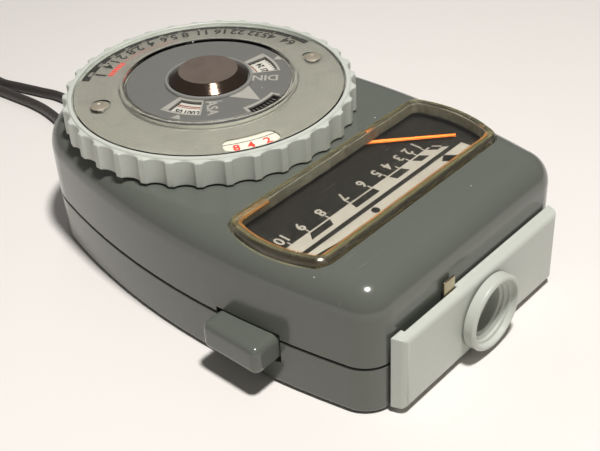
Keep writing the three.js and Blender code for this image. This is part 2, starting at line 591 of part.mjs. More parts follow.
// ---------- strap anchor and wrist cord ----------
{
  const half = cordEnds.x + 1.8;
  const [low, high] = [1.8, 5.6];
  const holes = [-1, 1].map((s) => rodAlongY(cordRadius + GAP, 20, 30, s * cordEnds.x, cordEnds.z + 0.3, 16));
  const flange = block([-half - 1.2, half + 1.2], [23.6, 25.2], [2.7, 7.2]);
  piece('strap_anchor', carve(block([-half, half], [25.0, 28.2], [low, high]), { add: [flange], cut: holes }),
    charcoal);
}
const onTable = cordRadius + 0.05;
const cordRoute = [
  [2.6, 28.7, 3.7], [3.2, 33, 2.6], [5.4, 40, 1.2], [8.2, 50, onTable], [8.8, 58.3, onTable],
  [7.5, 63.7, onTable], [6.1, 68.9, onTable], [4.9, 74, onTable], [6.2, 82, onTable],
  [11, 95, onTable], [16, 110, onTable], [15.5, 126, onTable], [8, 137, onTable], [-1, 139.5, onTable],
  [-10, 135, onTable], [-15, 123, onTable], [-12.5, 108, onTable], [-5, 93, onTable],
  [0.9, 81, onTable], [2.2, 73, onTable], [2.9, 66, onTable], [3.3, 60, onTable], [3.0, 54.8, onTable],
  [1.2, 47, onTable], [-1.6, 39, 1.2], [-2.6, 33, 2.6], [-2.6, 28.7, 3.7],
];
piece('wrist_cord', wire(cordRadius, cordRoute, 56), cordBrown);

export default light_meter;
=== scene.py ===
import math

import bmesh
import bpy
from mathutils import Matrix, Vector


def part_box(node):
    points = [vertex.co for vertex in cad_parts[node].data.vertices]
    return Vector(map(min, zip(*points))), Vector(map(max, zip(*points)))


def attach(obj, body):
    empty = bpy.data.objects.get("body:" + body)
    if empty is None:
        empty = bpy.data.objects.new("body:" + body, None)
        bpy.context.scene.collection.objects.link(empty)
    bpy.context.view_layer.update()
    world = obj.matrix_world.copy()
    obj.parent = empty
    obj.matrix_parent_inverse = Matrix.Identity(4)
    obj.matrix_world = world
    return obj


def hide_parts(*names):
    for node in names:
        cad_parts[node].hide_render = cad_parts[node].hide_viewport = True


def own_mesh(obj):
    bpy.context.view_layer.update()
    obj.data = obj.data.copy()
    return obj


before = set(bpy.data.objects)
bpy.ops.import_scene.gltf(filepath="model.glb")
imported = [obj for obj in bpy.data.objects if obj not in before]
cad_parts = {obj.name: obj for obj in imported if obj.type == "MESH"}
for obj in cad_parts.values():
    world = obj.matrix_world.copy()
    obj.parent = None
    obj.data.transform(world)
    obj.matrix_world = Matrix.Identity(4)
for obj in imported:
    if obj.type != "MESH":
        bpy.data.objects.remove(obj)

MM = 0.001
UP = Vector((0, 0, 1))
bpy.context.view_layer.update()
scene = bpy.context.scene


def box(node):
    """Lowest and highest corner of a CAD node, in millimetres."""
    low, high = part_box(node)
    return low / MM, high / MM


def centre_of(node):
    """Middle of a CAD node seen from above, in millimetres."""
    low, high = box(node)
    return (low.x + high.x) / 2, (low.y + high.y) / 2


# ---------------------------------------------------------------- camera

CAMERA_PLACE = Vector((-0.11475, -0.12758, 0.1197))
CAMERA_TURN = (-46.68, 35.77, -3.14)     # azimuth, elevation and roll in degrees
FOCAL_LENGTH = 67.94
SENSOR_WIDTH = 36


def place_camera():
    azimuth, elevation, roll = map(math.radians, CAMERA_TURN)
    back = Vector((math.sin(azimuth) * math.cos(elevation),
                   -math.cos(azimuth) * math.cos(elevation), math.sin(elevation)))
    level = (-back).cross(UP).normalized()
    upright = level.cross(-back)
    right = math.cos(roll) * level + math.sin(roll) * upright
    top = math.cos(roll) * upright - math.sin(roll) * level
    lens = bpy.data.cameras.new("camera")
    lens.lens = FOCAL_LENGTH
    lens.sensor_width = SENSOR_WIDTH
    lens.clip_start = 0.005
    camera = bpy.data.objects.new("camera", lens)
    facing = Matrix((right, top, back)).transposed().to_4x4()
    camera.matrix_world = Matrix.Translation(CAMERA_PLACE) @ facing
    scene.collection.objects.link(camera)
    scene.camera = camera


# ---------------------------------------------------------------- node trees

def socket_in(tree, node, name, value):
    """Links a socket to an input, or sets a plain value on it."""
    if isinstance(value, bpy.types.NodeSocket):
        tree.links.new(value, node.inputs[name])
    else:
        node.inputs[name].default_value = value


def add(tree, kind, inputs=None, **settings):
    node = tree.nodes.new("ShaderNode" + kind)
    for name, value in settings.items():
        setattr(node, name, value)
    for name, value in (inputs or {}).items():
        socket_in(tree, node, name, value)
    return node


def maths(tree, operation, first, second=0.0):
    node = add(tree, "Math", {0: first, 1: second}, operation=operation, use_clamp=False)
    return node.outputs[0]


def ramp(tree, value, start, end, low=0.0, high=1.0):
    """Turns a value into a mask that runs from low to high between two limits."""
    node = add(tree, "MapRange", {"Value": value, "From Min": start, "From Max": end,
                                  "To Min": low, "To Max": high})
    return node.outputs["Result"]


def mixed(tree, share, first, second):
    node = add(tree, "Mix", data_type="RGBA")
    for index, value in ((0, share), (6, first), (7, second)):
        socket_in(tree, node, index, value)
    return node.outputs[2]


def paint(red, green, blue):
    """A linear colour from 0 to 255 screen values."""
    def linear(value):
        value /= 255
        return value / 12.92 if value <= 0.04045 else ((value + 0.055) / 1.055) ** 2.4
    return (linear(red), linear(green), linear(blue), 1.0)


def effect(name, inputs, outputs):
    """An empty shader node group with named sockets, and its two end nodes."""
    group = bpy.data.node_groups.new(name, "ShaderNodeTree")
    for label, kind, value in inputs:
        made = group.interface.new_socket(label, in_out="INPUT", socket_type="NodeSocket" + kind)
        if value is not None:
            made.default_value = value
    for label, kind in outputs:
        group.interface.new_socket(label, in_out="OUTPUT", socket_type="NodeSocket" + kind)
    entry = group.nodes.new("NodeGroupInput").outputs
    leave = group.nodes.new("NodeGroupOutput")
    return group, entry, leave


def moulding_effect():
    """Moulded plastic or paint: cloudy tone, fine grain, hairline scratches, dust and worn edges."""
    group, entry, leave = effect("moulding", [
        ("Colour", "Color", (0.5, 0.5, 0.5, 1)), ("Shade", "Color", (0.3, 0.3, 0.3, 1)),
        ("Worn", "Color", (0.7, 0.7, 0.7, 1)), ("Roughness", "Float", 0.4),
        ("Dust", "Float", 1.0), ("Wear", "Float", 0.5)],
        [("Colour", "Color"), ("Roughness", "Float"), ("Height", "Float")])
    place = add(group, "TexCoord").outputs["Object"]
    cloud = add(group, "TexNoise", {"Vector": place, "Scale": 55.0, "Detail": 4.0}).outputs[0]
    fine = add(group, "TexNoise", {"Vector": place, "Scale": 900.0, "Detail": 6.0}).outputs[0]
    grain = add(group, "TexNoise", {"Vector": place, "Scale": 4200.0, "Detail": 2.0}).outputs[0]
    turn = add(group, "Mapping", {"Vector": place, "Rotation": (0.3, 0.2, 0.7), "Scale": (60, 1500, 700)})
    hair = add(group, "TexNoise", {"Vector": turn.outputs[0], "Scale": 1.0, "Detail": 3.0}).outputs[0]
    scratch = ramp(group, hair, 0.71, 0.76)
    cells = add(group, "TexVoronoi", {"Vector": place, "Scale": 260.0})
    dot = ramp(group, cells.outputs["Distance"], 0.035, 0.02)
    rare = ramp(group, add(group, "SeparateColor", {0: cells.outputs["Color"]}).outputs[0], 0.72, 0.74)
    face = add(group, "SeparateXYZ", {0: add(group, "NewGeometry").outputs["Normal"]}).outputs[2]
    dust = maths(group, "MULTIPLY", dot, rare)
    dust = maths(group, "MULTIPLY", dust, ramp(group, face, 0.0, 0.8, 0.1, 1.0))
    dust = maths(group, "MULTIPLY", dust, entry["Dust"])
    edge = ramp(group, add(group, "NewGeometry").outputs["Pointiness"], 0.53, 0.62)
    worn = maths(group, "MULTIPLY", edge, ramp(group, fine, 0.35, 0.6))
    worn = maths(group, "MULTIPLY", worn, entry["Wear"])
    tone = ramp(group, maths(group, "ADD", maths(group, "MULTIPLY", cloud, 0.7),
                             maths(group, "MULTIPLY", fine, 0.3)), 0.3, 0.7)
    colour = mixed(group, maths(group, "MULTIPLY", tone, 0.45), entry["Colour"], entry["Shade"])
    colour = mixed(group, maths(group, "MULTIPLY", scratch, 0.25), colour, entry["Worn"])
    colour = mixed(group, worn, colour, entry["Worn"])
    colour = mixed(group, dust, colour, (0.8, 0.79, 0.75, 1))
    rough = maths(group, "ADD", entry["Roughness"], ramp(group, tone, 0.0, 1.0, -0.04, 0.06))
    rough = maths(group, "ADD", rough, maths(group, "MULTIPLY", scratch, 0.12))
    rough = maths(group, "ADD", rough, maths(group, "MULTIPLY", dust, 0.4))
    height = maths(group, "SUBTRACT", maths(group, "MULTIPLY", grain, 0.4),
                   maths(group, "MULTIPLY", scratch, 0.3))
    height = maths(group, "ADD", height, maths(group, "MULTIPLY", dust, 1.5))
    for label, value in (("Colour", colour), ("Roughness", rough), ("Height", height)):
        group.links.new(value, leave.inputs[label])
    return group


def machining_effect():
    """Turned or rolled metal: fine rings round the piece's axis, streaks, tarnish and scratches."""
    group, entry, leave = effect("machining", [
        ("Place", "Vector", None), ("Colour", "Color", (0.6, 0.6, 0.6, 1)),
        ("Tarnish", "Color", (0.3, 0.3, 0.3, 1)), ("Roughness", "Float", 0.3), ("Rings", "Float", 1.0)],
        [("Colour", "Color"), ("Roughness", "Float"), ("Height", "Float")])
    flat = add(group, "VectorMath", {0: entry["Place"], 1: (1, 1, 0)}, operation="MULTIPLY").outputs[0]
    away = add(group, "VectorMath", {0: flat}, operation="LENGTH").outputs["Value"]
    ring = add(group, "TexNoise", {"W": away, "Scale": 3500.0, "Detail": 2.0}, noise_dimensions="1D")
    ring = maths(group, "MULTIPLY", ring.outputs[0], entry["Rings"])
    streak = add(group, "Mapping", {"Vector": entry["Place"], "Scale": (200, 4000, 4000)})
    streak = add(group, "TexNoise", {"Vector": streak.outputs[0], "Scale": 1.0, "Detail": 2.0}).outputs[0]
    streak = maths(group, "MULTIPLY", streak, maths(group, "SUBTRACT", 1.0, entry["Rings"]))
    lines = maths(group, "ADD", ring, streak)
    cloud = add(group, "TexNoise", {"Vector": entry["Place"], "Scale": 260.0, "Detail": 6.0}).outputs[0]
    spots = ramp(group, cloud, 0.5, 0.72)
    colour = mixed(group, maths(group, "MULTIPLY", spots, 0.5), entry["Colour"], entry["Tarnish"])
    colour = mixed(group, ramp(group, lines, 0.3, 0.7, 0.0, 0.18), colour, entry["Tarnish"])
    rough = maths(group, "ADD", entry["Roughness"], ramp(group, lines, 0.3, 0.7, -0.05, 0.08))
    rough = maths(group, "ADD", rough, maths(group, "MULTIPLY", spots, 0.15))
    for label, value in (("Colour", colour), ("Roughness", rough), ("Height", lines)):
        group.links.new(value, leave.inputs[label])
    return group


MOULDING = moulding_effect()
MACHINING = machining_effect()


def material(name):
    """A material with only its Principled shader and output, and its node tree."""
    made = bpy.data.materials.new(name)
    made.use_nodes = True
    tree = made.node_tree
    return made, tree, tree.nodes["Principled BSDF"]


def raise_grain(tree, shader, height, strength, depth):
    bump = add(tree, "Bump", {"Height": height, "Strength": strength, "Distance": depth * MM})
    tree.links.new(bump.outputs[0], shader.inputs["Normal"])


def moulded(name, colour, shade, worn, roughness, dust=1.0, wear=0.5, grain=0.15, coat=0.0,
            shine=0.5):
    """Plastic, card or paint with the moulding effect; its colours are 0 to 255 screen values."""
    made, tree, shader = material(name)
    node = add(tree, "Group", node_tree=MOULDING)
    for label, value in (("Colour", paint(*colour)), ("Shade", paint(*shade)), ("Worn", paint(*worn)),
                         ("Roughness", roughness), ("Dust", dust), ("Wear", wear)):
        node.inputs[label].default_value = value
    tree.links.new(node.outputs["Colour"], shader.inputs["Base Color"])
    tree.links.new(node.outputs["Roughness"], shader.inputs["Roughness"])
    shader.inputs["Specular IOR Level"].default_value = shine
    shader.inputs["Coat Weight"].default_value = coat
    shader.inputs["Coat Roughness"].default_value = 0.12
    raise_grain(tree, shader, node.outputs["Height"], grain, 0.05)
    return made


def machined(name, colour, tarnish, roughness, rings=1.0, metallic=1.0, grain=0.12):
    """Metal with the machining effect, whose rings run round the dial's axis; colours as above."""
    made, tree, shader = material(name)
    place = add(tree, "TexCoord").outputs["Object"]
    node = add(tree, "Group", node_tree=MACHINING)
    tree.links.new(place, node.inputs["Place"])
    for label, value in (("Colour", paint(*colour)), ("Tarnish", paint(*tarnish)),
                         ("Roughness", roughness), ("Rings", rings)):
        node.inputs[label].default_value = value
    tree.links.new(node.outputs["Colour"], shader.inputs["Base Color"])
    tree.links.new(node.outputs["Roughness"], shader.inputs["Roughness"])
    shader.inputs["Metallic"].default_value = metallic
    raise_grain(tree, shader, node.outputs["Height"], grain, 0.02)
    return made


def acrylic(name, tint, roughness=0.03, haze=0.15):
    """Clear plastic that lets the light through to what lies under it."""
    made, tree, shader = material(name)
    place = add(tree, "TexCoord").outputs["Object"]
    cloud = add(tree, "TexNoise", {"Vector": place, "Scale": 300.0, "Detail": 5.0}).outputs[0]
    turn = add(tree, "Mapping", {"Vector": place, "Rotation": (0, 0, 0.9), "Scale": (90, 2600, 900)})
    hair = add(tree, "TexNoise", {"Vector": turn.outputs[0], "Scale": 1.0, "Detail": 2.0}).outputs[0]
    scratch = ramp(tree, hair, 0.68, 0.74)
    shader.inputs["Transmission Weight"].default_value = 1.0
    shader.inputs["IOR"].default_value = 1.49
    tone = mixed(tree, ramp(tree, cloud, 0.35, 0.7, 0.0, haze), tint, tuple(0.8 * c for c in tint[:3]) + (1,))
    tree.links.new(tone, shader.inputs["Base Color"])
    rough = maths(tree, "ADD", ramp(tree, cloud, 0.4, 0.75, roughness, roughness + 0.02),
                  maths(tree, "MULTIPLY", scratch, 0.2))
    tree.links.new(rough, shader.inputs["Roughness"])
    raise_grain(tree, shader, scratch, 0.08, 0.02)
    clear = add(tree, "BsdfTransparent", {"Color": tuple(0.94 * c for c in tint[:3]) + (1,)})
    shadow = add(tree, "LightPath").outputs["Is Shadow Ray"]
    blend = add(tree, "MixShader", {0: shadow, 1: shader.outputs[0], 2: clear.outputs[0]})
    tree.links.new(blend.outputs[0], tree.nodes["Material Output"].inputs["Surface"])
    return made


def coil_winding():
    """Enamelled copper wire laid side by side."""
    made, tree, shader = material("coil_winding")
    place = add(tree, "TexCoord").outputs["Object"]
    turn = add(tree, "Mapping", {"Vector": place, "Rotation": (0, 0, 0.76)})
    wire = add(tree, "TexWave", {"Vector": turn.outputs[0], "Scale": 1400.0, "Distortion": 0.6},
               bands_direction="Y").outputs["Fac"]
    cloud = add(tree, "TexNoise", {"Vector": place, "Scale": 500.0}).outputs[0]
    tone = maths(tree, "MULTIPLY", wire, ramp(tree, cloud, 0.3, 0.7, 0.7, 1.0))
    tree.links.new(mixed(tree, tone, paint(92, 40, 18), paint(196, 104, 58)), shader.inputs["Base Color"])
    tree.links.new(ramp(tree, cloud, 0.3, 0.7, 0.25, 0.45), shader.inputs["Roughness"])
    shader.inputs["Metallic"].default_value = 0.9
    raise_grain(tree, shader, wire, 0.6, 0.05)
    return made


def braided_cord():
    """Dark braided yarn: two sets of strands that cross, with worn fuzz on top."""
    made, tree, shader = material("braided_cord")
    place = add(tree, "TexCoord").outputs["Object"]
    strands = []
    for lean in (0.6, -0.6):
        turn = add(tree, "Mapping", {"Vector": place, "Rotation": (lean, lean, math.pi / 4 + lean)})
        strands.append(add(tree, "TexWave", {"Vector": turn.outputs[0], "Scale": 620.0, "Distortion": 1.0,
                                             "Detail": 1.0}).outputs["Fac"])
    weave = maths(tree, "MAXIMUM", *strands)
    fuzz = add(tree, "TexNoise", {"Vector": place, "Scale": 5200.0, "Detail": 3.0}).outputs[0]
    tone = maths(tree, "MULTIPLY", weave, ramp(tree, fuzz, 0.3, 0.7, 0.5, 1.0))
    tree.links.new(mixed(tree, tone, paint(20, 15, 13), paint(54, 46, 41)), shader.inputs["Base Color"])
    tree.links.new(ramp(tree, fuzz, 0.3, 0.7, 0.42, 0.65), shader.inputs["Roughness"])
    shader.inputs["Sheen Weight"].default_value = 0.3
    height = maths(tree, "ADD", weave, maths(tree, "MULTIPLY", fuzz, 0.5))
    raise_grain(tree, shader, height, 0.5, 0.1)
    return made


finishes = {
    "housing": moulded("housing_grey", (98, 102, 95), (90, 94, 88), (128, 131, 122), 0.15, 1.0, 0.2,
                       grain=0.08, coat=0.2),
    "pale": moulded("pale_grey", (196, 200, 192), (186, 190, 182), (218, 220, 212), 0.34, 0.5, 0.3),
    "charcoal": moulded("charcoal_paint", (112, 112, 108), (102, 102, 98), (150, 150, 145), 0.38, 0.8),
    "black_paint": moulded("black_paint", (20, 19, 17), (26, 24, 22), (80, 78, 72), 0.6, 0.1, shine=0.1),
    "black_plastic": moulded("black_plastic", (26, 26, 26), (36, 36, 36), (84, 84, 82), 0.4, 0.3),
    "white_card": moulded("white_card", (206, 204, 194), (192, 189, 178), (235, 233, 225), 0.6, 0.2),
    "white_ink": moulded("white_ink", (134, 131, 124), (126, 123, 116), (170, 168, 160), 0.6, 0.0, 0.0,
                         shine=0.2),
    "strip_ink": moulded("strip_ink", (172, 168, 159), (160, 156, 147), (200, 198, 190), 0.6, 0.0, 0.0,
                         shine=0.2),
    "black_ink": moulded("black_ink", (12, 11, 11), (18, 17, 16), (90, 88, 84), 0.6, 0.0, 0.0, shine=0.15),
    "red_ink": moulded("red_ink", (206, 36, 20), (180, 28, 18), (240, 120, 96), 0.6, 0.0, 0.0, shine=0.2),
    "rust_ink": moulded("rust_ink", (150, 82, 58), (128, 66, 46), (180, 120, 100), 0.5, 0.0, 0.0),
    "silver_ink": moulded("silver_ink", (168, 166, 158), (152, 150, 143), (205, 203, 196), 0.4, 0.1, 0.1),
    "pointer": moulded("pointer_orange", (255, 134, 52), (246, 104, 32), (255, 180, 120), 0.3, 0.0, 0.1),
    "bond": moulded("amber_bond", (112, 76, 30), (88, 58, 24), (140, 104, 56), 0.3, 0.0, 0.0),
    "liner": moulded("window_liner", (70, 68, 56), (56, 54, 44), (110, 106, 90), 0.35, 0.2),
    "board": moulded("board_green", (36, 92, 56), (26, 72, 42), (90, 130, 96), 0.35, 0.2, coat=0.4),
    "blue": moulded("trimmer_blue", (42, 82, 158), (30, 62, 128), (110, 140, 190), 0.35, 0.2),
    "red": moulded("red_lacquer", (160, 44, 26), (126, 30, 18), (190, 90, 70), 0.3, 0.1, coat=0.3),
    "cell": moulded("cell_face", (44, 30, 24), (30, 20, 16), (90, 70, 60), 0.2, 0.1, coat=0.6),
    "silver": machined("silver_anodised", (122, 120, 113), (112, 110, 103), 0.4, metallic=0.3),
    "steel": machined("bright_steel", (190, 190, 188), (120, 118, 112), 0.26, rings=0.2),
    "tab": machined("nickel_tab", (206, 194, 168), (150, 132, 100), 0.24, rings=0.0),
    "brass": machined("lacquered_brass", (196, 160, 92), (120, 88, 44), 0.3, rings=0.4),
    # The knob's top and sides are two copies of one dark chrome: the lighter top copy is a painted
    # reflection, the darker side copy is painted shade.
    "knob": machined("dark_chrome", (150, 136, 126), (118, 105, 96), 0.16, rings=0.8, metallic=0.6),
    "knob_side_painted_shade": machined("dark_chrome_side_painted_shade", (92, 78, 68), (60, 50, 42), 0.1, rings=0.5, metallic=0.8),
    "chrome": machined("bright_chrome", (170, 170, 165), (130, 130, 125), 0.14, metallic=0.4),
    "rivet": machined("rivet_nickel", (176, 168, 152), (128, 112, 90), 0.36, rings=0.1, metallic=0.4),
    "clear": acrylic("clear_acrylic", (0.96, 0.97, 0.95, 1), 0.01),
    "window_face": acrylic("window_face", (0.955, 0.95, 0.92, 1), 0.01),
    "window_wall": acrylic("window_wall", (0.84, 0.78, 0.62, 1), 0.16, 0.4),
    "coil": coil_winding(),
    "cord": braided_cord(),
}


# ---------------------------------------------------------------- shaping helpers

def polar(radius, degrees, centre=(0, 0)):
    return (centre[0] + radius * math.cos(math.radians(degrees)),
            centre[1] + radius * math.sin(math.radians(degrees)))


def plate_of(points, low, high):
    """A closed plate with the given outline, from one height to another."""
    bm = bmesh.new()
    face = bm.faces.new([bm.verts.new((x, y, low)) for x, y in points])
    grown = bmesh.ops.extrude_face_region(bm, geom=[face])["geom"]
    raised = [part for part in grown if isinstance(part, bmesh.types.BMVert)]
    bmesh.ops.translate(bm, vec=(0, 0, high - low), verts=raised)
    bmesh.ops.recalc_face_normals(bm, faces=bm.faces)
    return bm


def turned(profile, steps=96, centre=(0, 0)):
    """A profile of (radius, height) points spun round an upright axis."""
    bm = bmesh.new()
    line = [bm.verts.new((radius, 0, z)) for radius, z in profile]
    edges = [bm.edges.new(pair) for pair in zip(line, line[1:])]
    bmesh.ops.spin(bm, geom=line + edges, cent=(0, 0, 0), axis=(0, 0, 1), angle=2 * math.pi,
                   steps=steps, use_merge=True)
    bmesh.ops.remove_doubles(bm, verts=bm.verts, dist=0.001)
    bmesh.ops.translate(bm, vec=(*centre, 0), verts=bm.verts)
    bmesh.ops.recalc_face_normals(bm, faces=bm.faces)
    return bm


def ring_of(inner, outer, low, high, steps=96, centre=(0, 0)):
    return turned([(inner, low), (outer, low), (outer, high), (inner, high), (inner, low)], steps, centre)


def disc_of(radius, low, high, steps=48, centre=(0, 0)):
    return turned([(0, low), (radius, low), (radius, high), (0, high)], steps, centre)


def block(low, high):
    """A box between two corners."""
    bm = bmesh.new()
    bmesh.ops.create_cube(bm, size=1)
    low, high = Vector(low), Vector(high)
    bmesh.ops.scale(bm, vec=high - low, verts=bm.verts)
    bmesh.ops.translate(bm, vec=(low + high) / 2, verts=bm.verts)
    return bm


def sector(inner, outer, start, end, low, high):
    """Part of a ring between two angles in degrees."""
    count = max(2, math.ceil(abs(end - start) / 4))
    angles = [start + (end - start) * i / count for i in range(count + 1)]
    rim = [polar(outer, angle) for angle in angles]
    return plate_of(rim + [polar(inner, angle) for angle in reversed(angles)], low, high)


def along_y(bm, x, y, z):
    """Lays a shape turned about the upright axis along +Y, from the given place."""
    bmesh.ops.rotate(bm, matrix=Matrix.Rotation(-math.pi / 2, 3, "X"), verts=bm.verts)
    bmesh.ops.translate(bm, vec=(x, y, z), verts=bm.verts)
    return bm


def soften(bm, edges, width, segments=4):
    bmesh.ops.bevel(bm, geom=list(edges), offset=width, offset_type="OFFSET", segments=segments,
                    profile=0.5, affect="EDGES", material=-1, clamp_overlap=False)
    return bm


def level_edges(bm, height):
    return [edge for edge in bm.edges if all(abs(vert.co.z - height) < 0.001 for vert in edge.verts)]


def lies_along(edge, axis):
    """Whether an edge runs along X, Y or Z, given as 0, 1 or 2."""
    return abs((edge.verts[0].co - edge.verts[1].co).normalized()[axis]) > 0.99


def upright_edges(bm):
    return [edge for edge in bm.edges if lies_along(edge, 2) and edge.calc_face_angle(0) > 0.5]


def loose(bm):
    """A temporary object that holds a bmesh."""
    mesh = bpy.data.meshes.new("loose")
    bm.to_mesh(mesh)
    bm.free()
    made = bpy.data.objects.new("loose", mesh)
    scene.collection.objects.link(made)
    return made


def discard(*objects):
    for item in objects:
        mesh = item.data
        bpy.data.objects.remove(item)
        bpy.data.meshes.remove(mesh)


def combine(bm, tools, operation):
    target = loose(bm)
    helpers = [loose(tool) for tool in tools]
    for helper in helpers:
        modifier = target.modifiers.new("combine", "BOOLEAN")
        modifier.operation = operation
        modifier.solver = "EXACT"
        modifier.object = helper
    result = bmesh.new()
    shaped = target.evaluated_get(bpy.context.evaluated_depsgraph_get())
    result.from_mesh(shaped.to_mesh())
    shaped.to_mesh_clear()
    discard(target, *helpers)
    return result


def cut(bm, *tools):
    return combine(bm, tools, "DIFFERENCE")


def fuse(bm, *tools):
    return combine(bm, tools, "UNION")


def joined(shapes):
    """Several separate shapes as one bmesh."""
    whole = bmesh.new()
    for shape in shapes:
        carrier = bpy.data.meshes.new("carrier")
        shape.to_mesh(carrier)
        shape.free()
        whole.from_mesh(carrier)
        bpy.data.meshes.remove(carrier)
    return whole


def finish_piece(name, bm, body, finish, stands_for=(), edge=0.0, sharp=32):
    """Makes a bmesh in millimetres a piece of the object that rides on a body."""
    bmesh.ops.remove_doubles(bm, verts=bm.verts, dist=0.002)
    bmesh.ops.recalc_face_normals(bm, faces=bm.faces)
    bmesh.ops.scale(bm, vec=(MM, MM, MM), verts=bm.verts)
    mesh = bpy.data.meshes.new(name)
    bm.to_mesh(mesh)
    bm.free()
    mesh.shade_smooth()
    mesh.set_sharp_from_angle(angle=math.radians(sharp))
    mesh.materials.append(finishes[finish])
    piece = bpy.data.objects.new(name, mesh)
    scene.collection.objects.link(piece)
    if edge:
        rounding = piece.modifiers.new("rounding", "BEVEL")
        rounding.width = edge * MM
        rounding.segments = 2
        rounding.limit_method = "ANGLE"
        rounding.angle_limit = math.radians(40)
    weighting = piece.modifiers.new("weighting", "WEIGHTED_NORMAL")
    weighting.keep_sharp = True
    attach(piece, body)
    if stands_for:
        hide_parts(*stands_for)
    return piece


INK = 0.02                               # thickness of printed marks
OVERPRINT = 1.2 * INK                    # height of a second print over the first
BOLD = 0.024                             # how far printed characters are thickened
DIGIT_HEIGHT = 2.05
FINE_STEPS = 144                         # sides of the dial's large round parts


def lettering(words, height, up_angle, place, z, squeeze=1.0):
    """Printed characters whose tops point towards up_angle, centred on a place."""
    curve = bpy.data.curves.new("lettering", "FONT")
    curve.body = words
    curve.align_x = "CENTER"
    curve.align_y = "CENTER"
    curve.resolution_u = 3
    curve.extrude = INK / 2
    curve.offset = BOLD
    writer = bpy.data.objects.new("lettering", curve)
    scene.collection.objects.link(writer)
    mesh = bpy.data.meshes.new_from_object(writer.evaluated_get(bpy.context.evaluated_depsgraph_get()))
    bpy.data.objects.remove(writer)
    bpy.data.curves.remove(curve)
    bm = bmesh.new()
    bm.from_mesh(mesh)
    bpy.data.meshes.remove(mesh)
    bmesh.ops.remove_doubles(bm, verts=bm.verts, dist=0.0001)
    low = [min(vert.co[i] for vert in bm.verts) for i in (0, 1)]
    high = [max(vert.co[i] for vert in bm.verts) for i in (0, 1)]
    share = height / (high[1] - low[1])
    bmesh.ops.translate(bm, vec=(-(low[0] + high[0]) / 2, -(low[1] + high[1]) / 2, 0), verts=bm.verts)
    bmesh.ops.scale(bm, vec=(share * squeeze, share, 1), verts=bm.verts)
    bmesh.ops.rotate(bm, matrix=Matrix.Rotation(math.radians(up_angle - 90), 3, "Z"), verts=bm.verts)
    bmesh.ops.translate(bm, vec=(*place, z + 1.5 * INK), verts=bm.verts)
    return bm


def mark(points, z):
    """A printed patch of the given outline, lying on a surface at height z."""
    return plate_of(points, z + INK, z + 2 * INK)


def print_piece(name, marks, body, ink, shift=(0, 0, 0)):
    """Makes marks one printed piece that rides on a body."""
    whole = joined(marks)
    bmesh.ops.translate(whole, vec=shift, verts=whole.verts)
    finish_piece(name, whole, body, ink, sharp=40)


def arc_mark(inner, outer, start, end, z):
    return sector(inner, outer, start, end, z + INK, z + 2 * INK)


def tick(radius, length, width, degrees, z):
    """A short radial line."""
    half = math.degrees(width / 2 / radius)
    return arc_mark(radius - length / 2, radius + length / 2, degrees - half, degrees + half, z)


# ---------------------------------------------------------------- wrist cord

ON_TABLE = 1.05                          # height of the cord's middle where it lies on the table
CORD_RADIUS = 1.0
CORD_SIDE = 2.6                          # the two ends leave the anchor this far from its middle
CORD_HEIGHT = 3.7
# Points along the cord, from one end in the anchor round the loop to the other.
CORD_ROUTE = [
    (CORD_SIDE, 28.7, CORD_HEIGHT), (3.2, 33, 2.6), (5.4, 40, 1.2), (8.2, 50, ON_TABLE),
    (8.8, 58.3, ON_TABLE), (7.5, 63.7, ON_TABLE), (6.1, 68.9, ON_TABLE), (4.9, 74, ON_TABLE),
    (6.2, 82, ON_TABLE), (11, 95, ON_TABLE), (16, 110, ON_TABLE), (15.5, 126, ON_TABLE),
    (8, 137, ON_TABLE), (-1, 139.5, ON_TABLE), (-10, 135, ON_TABLE), (-15, 123, ON_TABLE),
    (-12.5, 108, ON_TABLE), (-5, 93, ON_TABLE), (0.9, 81, ON_TABLE), (2.2, 73, ON_TABLE),
    (2.9, 66, ON_TABLE), (3.3, 60, ON_TABLE), (3.0, 54.8, ON_TABLE), (1.2, 47, ON_TABLE),
    (-1.6, 39, 1.2), (-2.6, 33, 2.6), (-CORD_SIDE, 28.7, CORD_HEIGHT),
]


def wrist_lanyard():
    curve = bpy.data.curves.new("wrist_lanyard", "CURVE")
    curve.dimensions = "3D"
    curve.bevel_depth = CORD_RADIUS * MM
    curve.bevel_resolution = 5
    curve.resolution_u = 10
    curve.use_fill_caps = True
    spline = curve.splines.new("BEZIER")
    spline.bezier_points.add(len(CORD_ROUTE) - 1)
    for point, place in zip(spline.bezier_points, CORD_ROUTE):
        point.co = Vector(place) * MM
        point.handle_left_type = point.handle_right_type = "AUTO"
    curve.materials.append(finishes["cord"])
    cord = bpy.data.objects.new("wrist_lanyard", curve)
    scene.collection.objects.link(cord)
    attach(cord, "housing")
    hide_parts("wrist_cord")


# ---------------------------------------------------------------- table, light

LAMP_PLACE = 0.42 * Vector((-0.10, -0.32, 1.0)).normalized()
LAMP_SIZE, LAMP_POWER, LAMP_COLOUR = 0.05, 1.85, (1.0, 0.975, 0.94)
FILL_PLACE = Vector((0.45, 0.75, 0.5))
FILL_SIZE, FILL_POWER = 0.7, 1.3
SURROUND_STRENGTH, SURROUND_COLOUR = 0.12, (1.0, 0.96, 0.92, 1)


